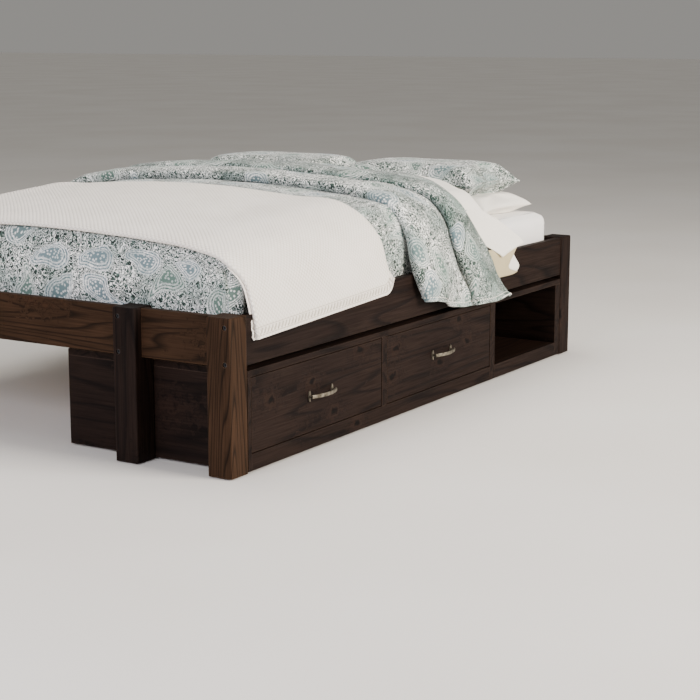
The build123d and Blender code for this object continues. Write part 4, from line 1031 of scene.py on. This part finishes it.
coverlet = clothPiece("coverlet_cloth", coverletGrid, np.array(cuts), matelasse, coverletSet["thick"])
coverNormals = gridNormals(coverletGrid)
ropeAt = int(np.argmin(np.abs(fromHem / mm - sum(coverletSet["band"]) / 2)))
bands = [(coverletGrid[:, k], coverNormals[:, k]) for k in (ropeAt, -1 - ropeAt)]
trims = [stitchRow("coverlet_hem_stitches", bands, ropeStitch, thread)]
for word, way in (("front", 1), ("back", -1)):
    for level, sewn in zip(("low", "high"), coverletSet["band"]):
        k = int(np.argmin(np.abs(fromHem / mm - sewn)))
        seamLine = coverletGrid[:, k if way > 0 else -1 - k]
        seamName = "coverlet_seam_" + word + "_" + level
        trims.append(beadPiece(seamName, seamLine, coverletSet["thread"], False, thread))
    hanging = (coverletGrid[0, :, 2] < coverletSet["turnTop"]) & (coverletGrid[0, :, 1] * way < 0)
    edge, inward = coverletGrid[0, hanging], coverNormals[0, hanging]
    ribbon = np.array([edge + (along * mm, 0, 0) - inward * (deep * mm) for along, deep in coverletSet["turnUnder"]])
    ribbonName = "coverlet_turned_edge_" + word
    trims.append(clothPiece(ribbonName, ribbon, ribbon[..., [0, 2]], matelasse, coverletSet["turnThick"]))
edgeLine = coverletGrid[0] - coverNormals[0] * (coverletSet["thick"] * 0.5 * mm)
edgeBead = beadPiece("coverlet_rolled_edge", edgeLine, coverletSet["bead"], False, matelasse)
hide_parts("coverlet")
print("stage: coverlet")

# Flat sheet, turned down over the head edge of the comforter, its ends over the rails, in mm
sheetSet = {
    # distance from the middle of the bed, and height, of its edge towards the foot and towards the head
    "near": [
        (0, 674), (200, 669), (400, 658), (540, 641), (614, 619), (664, 584), (697, 534), (718, 480), (739, 436),
        (749, 412),
    ],
    "far": [
        (0, 672), (200, 667), (400, 656), (540, 639), (612, 617), (662, 582), (695, 532), (718, 480), (737, 452),
        (745, 441),
    ],
    # place along the bed of its two edges, by the distance from the middle along the cloth
    "left": [
        (0, 375), (300, 375), (460, 372), (530, 335), (590, 280), (650, 258), (710, 262), (790, 304), (830, 400),
        (870, 474),
    ],
    "right": [
        (0, 535), (300, 537), (450, 538), (530, 508), (588, 479), (640, 463), (678, 461), (725, 509), (775, 580),
        (830, 634), (870, 640),
    ],
    "width": 210.0,
    "turn": 0.86,  # share of the width before it rolls over the comforter's edge
    "rows": (20, 9),  # before the turn and after it
    "columns": 240,
    "drop": 26.0,
    "dropEnds": (640.0, 760.0),  # from the middle along the cloth
    "onHeap": 690.0,  # as far out as it lies on the heap
    "clear": 5.0,  # over the heap
    "puff": 4.0,
    "puffSpan": (0.2, 0.6),  # share of the width
    "wrinkles": [(1.6, 0.16, 21), (0.6, 0.05, 22)],
    "thick": 4.5,
    # hanging layer below the turned-down end: height, left edge, fold and right edge of the back part
    "hang": [
        (440, 390, 612, 614), (425, 392, 600, 603), (405, 394, 577, 580), (388, 396, 556, 592),
        (372, 398, 541, 606), (362, 400, 548, 616), (353, 401, 580, 618), (346, 402, 612, 617),
    ],
    "hangRows": 22,
    "hangColumns": 22,
    "tailColumns": 12,
    "hangOut": 733.6,  # from the middle of the bed
    "hangFlare": 9.0,
    "hangWave": 4.0,
    "tailOut": 731.6,
    "tailFlare": 6.0,
    "tailRise": 14.0,
    "hangThick": 0.8,
}
nearLine, farLine = np.array(sheetSet["near"], float), np.array(sheetSet["far"], float)
edgeLines = [lineThrough(sheetSet[key], edgeStep).T for key in ("left", "right")]
turn, quarter = sheetSet["turn"], math.pi / 2
rows = []
cuts = []
for share in spaced([(0, sheetSet["rows"][0]), (turn, sheetSet["rows"][1]), (1, 0)]):
    out, hemRun, y, z = clothRow(nearLine + (farLine - nearLine) * share, np.zeros(1), sheetSet["columns"])
    far = np.abs(out) / mm
    left, right = (np.interp(far, *edgeLine) * mm for edgeLine in edgeLines)
    rolled = np.clip((share - turn) / (1 - turn), 0, 1)
    x = left + (right - left) * (turn * min(share / turn, 1) + (1 - turn) * math.sin(rolled * quarter))
    puff = sheetSet["puff"] * mm * ease(share, *sheetSet["puffSpan"])
    lying = np.maximum(z + puff, heapTop(x, y) + sheetSet["clear"] * mm)
    z = np.where(far < sheetSet["onHeap"], lying, z)
    z = z - sheetSet["drop"] * mm * (1 - math.cos(rolled * quarter)) * (1 - ease(far, *sheetSet["dropEnds"]))
    rows.append(np.stack([x, y, z], -1))
    cuts.append(np.stack([np.full_like(y, share * sheetSet["width"] * mm), out], -1))
base = np.array(rows)
sheetGrid = raised(base, wrinkles(base, sheetSet["wrinkles"]))
slot = "cream_cotton"
flatSheet = clothPiece("flat_sheet_cloth", sheetGrid, np.array(cuts), cloths["percale"], sheetSet["thick"])
hangLines = np.array(sheetSet["hang"], float)
levels = np.linspace(hangLines[0, 0], hangLines[-1, 0], sheetSet["hangRows"])
for word, way in (("front", -1), ("back", 1)):
    hangRows, tailRows = [], []
    for z in levels:
        left, fold, right = (np.interp(-z, -hangLines[:, 0], hangLines[:, k]) for k in (1, 2, 3))
        down = (levels[0] - z) / (levels[0] - levels[-1])
        u = np.linspace(0, 1, sheetSet["hangColumns"])
        flare = sheetSet["hangFlare"] * (1 - u**3) + sheetSet["hangWave"] * np.sin(7 * u + 2 * down)
        sag = sheetSet["hangWave"] * np.sin(u * math.pi) * down
        hangRows.append(np.stack([left + (fold - left) * u, way * (sheetSet["hangOut"] + down * flare), z - sag], -1))
        u = np.linspace(0, 1, sheetSet["tailColumns"])
        tailY = way * (sheetSet["tailOut"] + sheetSet["tailFlare"] * down * u)
        tailRows.append(np.stack([fold + (right - fold) * u, tailY, z + sheetSet["tailRise"] * u * down], -1))
    # the hanging layer takes the percale darkened as painted shade, and the tail the plain white percale
    for part, partRows, cloth in (("hang", hangRows, "paintedShadePercale"), ("tail", tailRows, "percale")):
        layer = (np.array(partRows) * mm)[::way]
        layerName = "flat_sheet_" + part + "_" + word
        clothPiece(layerName, layer, layer[..., [0, 2]], cloths[cloth], sheetSet["hangThick"])
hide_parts("flat_sheet")
print("stage: flat sheet")

# Mattress in its fitted sheet, in mm
mattressSet = {
    "round": 36.0,
    "corner": 42.0,
    "cell": 14.0,
    "rows": 14,
    "crown": 10.0,
    "wrinkles": [(1.5, 0.12, 33)],
    "creases": [(1.6, 0.06, 31)],
    "creaseLong": (1, 1, 0.35),  # drawn out upwards
    "creaseEnds": (20.0, 30.0),  # below the top edge and above the bottom one
    "creaseDeep": 0.012,
    "flat": (900.0, 630.0),  # from the middle, the part of each side without creases
}
low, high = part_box("mattress")
bottom, edgeTop = low[2], heapSet["edge"] * mm
xs, ys = (np.linspace(low[k], high[k], int((high[k] - low[k]) / (mattressSet["cell"] * mm))) for k in (0, 1))
zs = np.linspace(bottom, edgeTop, mattressSet["rows"])
loop = [(x, ys[0]) for x in xs[:-1]] + [(xs[-1], y) for y in ys[:-1]]
loop += [(x, ys[-1]) for x in xs[:0:-1]] + [(xs[0], y) for y in ys[:0:-1]]


# how far a rounded edge draws in, from 0 where the rounding starts to 1
def drawnIn(share):
    return 1 - np.sqrt(np.clip(1 - np.clip(share, 0, 1) ** 2, 0, 1))


# box points rounded at the corners and at the top and bottom edges
def roundBox(points):
    radius, corner = mattressSet["round"] * mm, mattressSet["corner"] * mm
    x, y, z = points[..., 0], points[..., 1], points[..., 2]
    qx, qy = np.clip(x, low[0] + corner, high[0] - corner), np.clip(y, low[1] + corner, high[1] - corner)
    dx, dy = (x - qx) / corner, (y - qy) / corner
    flatSize = np.maximum(np.hypot(dx, dy), 1e-9)
    pull = np.maximum(np.abs(dx), np.abs(dy)) / flatSize
    lowRadius = radius * 0.5
    inset = radius * drawnIn((z - (edgeTop - radius)) / radius)
    inset = inset + lowRadius * drawnIn((bottom + lowRadius - z) / lowRadius)
    reach = corner * pull * (1 - inset / corner)
    return np.stack([qx + dx * reach, qy + dy * reach, z], -1)


wall = roundBox(np.array([[(x, y, z) for x, y in loop + loop[:1]] for z in zs]))
girth = np.cumsum([0] + [math.dist(a, b) for a, b in zip(loop, loop[1:] + loop[:1])])
wallCut = np.array([[(g, z) for g in girth] for z in zs])
crease = wrinkles(wall * mattressSet["creaseLong"], mattressSet["creases"])
underTop, overBottom = (value * mm for value in mattressSet["creaseEnds"])
crease = np.abs(crease * ease(wall[..., 2], edgeTop - underTop, bottom + overBottom)) * mattressSet["creaseDeep"]
for k, flat in enumerate(mattressSet["flat"]):
    wall[..., k] -= (wall[..., k] - np.clip(wall[..., k], -flat * mm, flat * mm)) * crease
mattress = clothPiece("mattress_side", wall[:, ::-1], wallCut[:, ::-1], cloths["fitted"])
panel = roundBox(np.array([[(x, y, edgeTop) for y in ys] for x in xs]))
flatHalf = high[1] - mattressSet["round"] * mm
panel[..., 2] += mattressSet["crown"] * mm * (1 - (panel[..., 1] / flatHalf) ** 2)
panel[..., 2] += wrinkles(panel, mattressSet["wrinkles"]) * mm
mattressTop = clothPiece("mattress_top", panel, panel[..., :2], cloths["fitted"])
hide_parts("mattress")
print("stage: mattress")

# Pillows: a printed sham on a plain one, each of two cut panels sewn along the rim and swollen by cloth simulation
pillowSet = {
    "depth": 410.0,
    "width": 600.0,
    "start": 78.0,  # mm thick before filling
    # height when filled, height of the rim, lowest and highest point, in mm, and how much longer it is than the sham
    "sham": {"full": 124.0, "middle": 632.0, "between": (581.0, 705.0), "longer": 0.0},
    "plain": {"full": 82.0, "middle": 550.0, "between": (517.0, 585.0), "longer": 46.0},
    "cell": 10.0,
    "pressure": 4.0,
    "quality": 6,
    "mass": 0.3,
    "frames": 20,
    "cap": 36.0,  # mm, the most that a point may move
    "droop": 12.0,
    "puckers": [(2.5, 0.05, 41)],
    "puckerReach": 20.0,  # mm from the rim
    "plainWrinkles": [(1.8, 0.045, 43)],
    "plainLong": (0.5, 1, 2),
    "outward": 0.7,  # share of the longer pillow's length that shows at its outer end
    "cutShift": 0.7,  # metres, for another part of the print
    "pipe": 3.4,
}
nx, ny = (int(pillowSet[key] / pillowSet["cell"]) for key in ("depth", "width"))
u, v = np.meshgrid(np.linspace(-1, 1, nx), np.linspace(-1, 1, ny), indexing="ij")
shamCut = np.stack([u * pillowSet["depth"], v * pillowSet["width"]], -1) * mm / 2
plump = np.sqrt((1 - u**4) * (1 - v**4)) * pillowSet["start"] * mm / 2
upper = np.arange(nx * ny).reshape(nx, ny)
onRim = (np.abs(u) == 1) | (np.abs(v) == 1)
lower = np.where(onRim, upper, upper + nx * ny)
panels = np.concatenate([np.dstack([shamCut, height]).reshape(-1, 3) for height in (plump, -plump)])
kept, order = np.unique(np.concatenate([upper.ravel(), lower.ravel()]), return_inverse=True)
upper, lower = order.reshape(2, nx, ny)
shamStart = panels[kept]
shamFaces = np.concatenate([quadsOf(upper), quadsOf(lower)[:, ::-1]])
shamFilled = shamStart.copy()
mesh = bpy.data.meshes.new("sham")
mesh.from_pydata(shamStart.tolist(), [], shamFaces.tolist())
sham = addObject("sham", mesh)
cloth = sham.modifiers.new("fill", "CLOTH")
cloth.settings.quality = pillowSet["quality"]
cloth.settings.mass = pillowSet["mass"]
cloth.settings.use_pressure = True
cloth.settings.uniform_pressure_force = pillowSet["pressure"]
cloth.settings.effector_weights.gravity = 0.0
cloth.collision_settings.use_collision = False
for step in range(1, pillowSet["frames"] + 1):
    bpy.context.scene.frame_set(step)
done = sham.evaluated_get(bpy.context.evaluated_depsgraph_get()).data
moved = np.empty(len(shamStart) * 3)
done.vertices.foreach_get("co", moved)
shift = moved.reshape(-1, 3) - shamStart
far = np.linalg.norm(shift, axis=1, keepdims=True)
shamFilled = shamStart + shift * np.minimum(1, pillowSet["cap"] * mm / np.maximum(far, 1e-9))
bpy.data.objects.remove(sham)
bpy.context.scene.frame_set(1)
print("sham size in mm", np.ptp(shamFilled, axis=0) / mm)
shamFilled[:, 2] *= pillowSet["sham"]["full"] * mm / np.ptp(shamFilled[:, 2])
reachX, reachY = np.abs(shamFilled[:, 0]).max(), np.abs(shamFilled[:, 1]).max()
corners = np.abs(shamFilled[:, 0] / reachX * shamFilled[:, 1] / reachY)
shamFilled[:, 2] -= pillowSet["droop"] * mm * corners**3
nearRim = np.exp(-np.abs(shamFilled[:, 2]) / (pillowSet["puckerReach"] * mm))
shamFilled[:, 2] += wrinkles(shamFilled, pillowSet["puckers"]) * mm * nearRim * np.sign(shamFilled[:, 2])
shamCoords = np.empty((len(shamStart), 2))
for panelIndex in (lower, upper):
    shamCoords[panelIndex.ravel()] = shamCut.reshape(-1, 2)
for name, mirror in (("pillow_front", 1), ("pillow_back", -1)):
    lowBox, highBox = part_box(name)
    centre = [(a + b) / 2 for a, b in zip(lowBox, highBox)]
    faces = shamFaces if mirror > 0 else shamFaces[:, ::-1]
    for kind in ("plain", "sham"):
        values = pillowSet[kind]
        longer = values["longer"]
        shape = (1, mirror * (1 + longer / pillowSet["width"]), values["full"] / pillowSet["sham"]["full"])
        middleY = centre[1] - mirror * longer * mm * pillowSet["outward"]
        points = shamFilled * shape + (centre[0], middleY, values["middle"] * mm)
        points[:, 2] = np.clip(points[:, 2], *(np.array(values["between"]) * mm))
        if kind == "plain":
            points[:, 2] += wrinkles(points * pillowSet["plainLong"], pillowSet["plainWrinkles"]) * mm
            plain = loosePiece(name + "_plain", points, faces, shamCoords, cloths["percale"])
    cut = shamCoords + pillowSet["cutShift"] * mirror
    pillow = loosePiece(name + "_sham", points, faces, cut, paisley)
    beadPiece(name + "_piping", points[rimOf(upper)], pillowSet["pipe"], True, paisley)
    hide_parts(name)
print("stage: pillows")
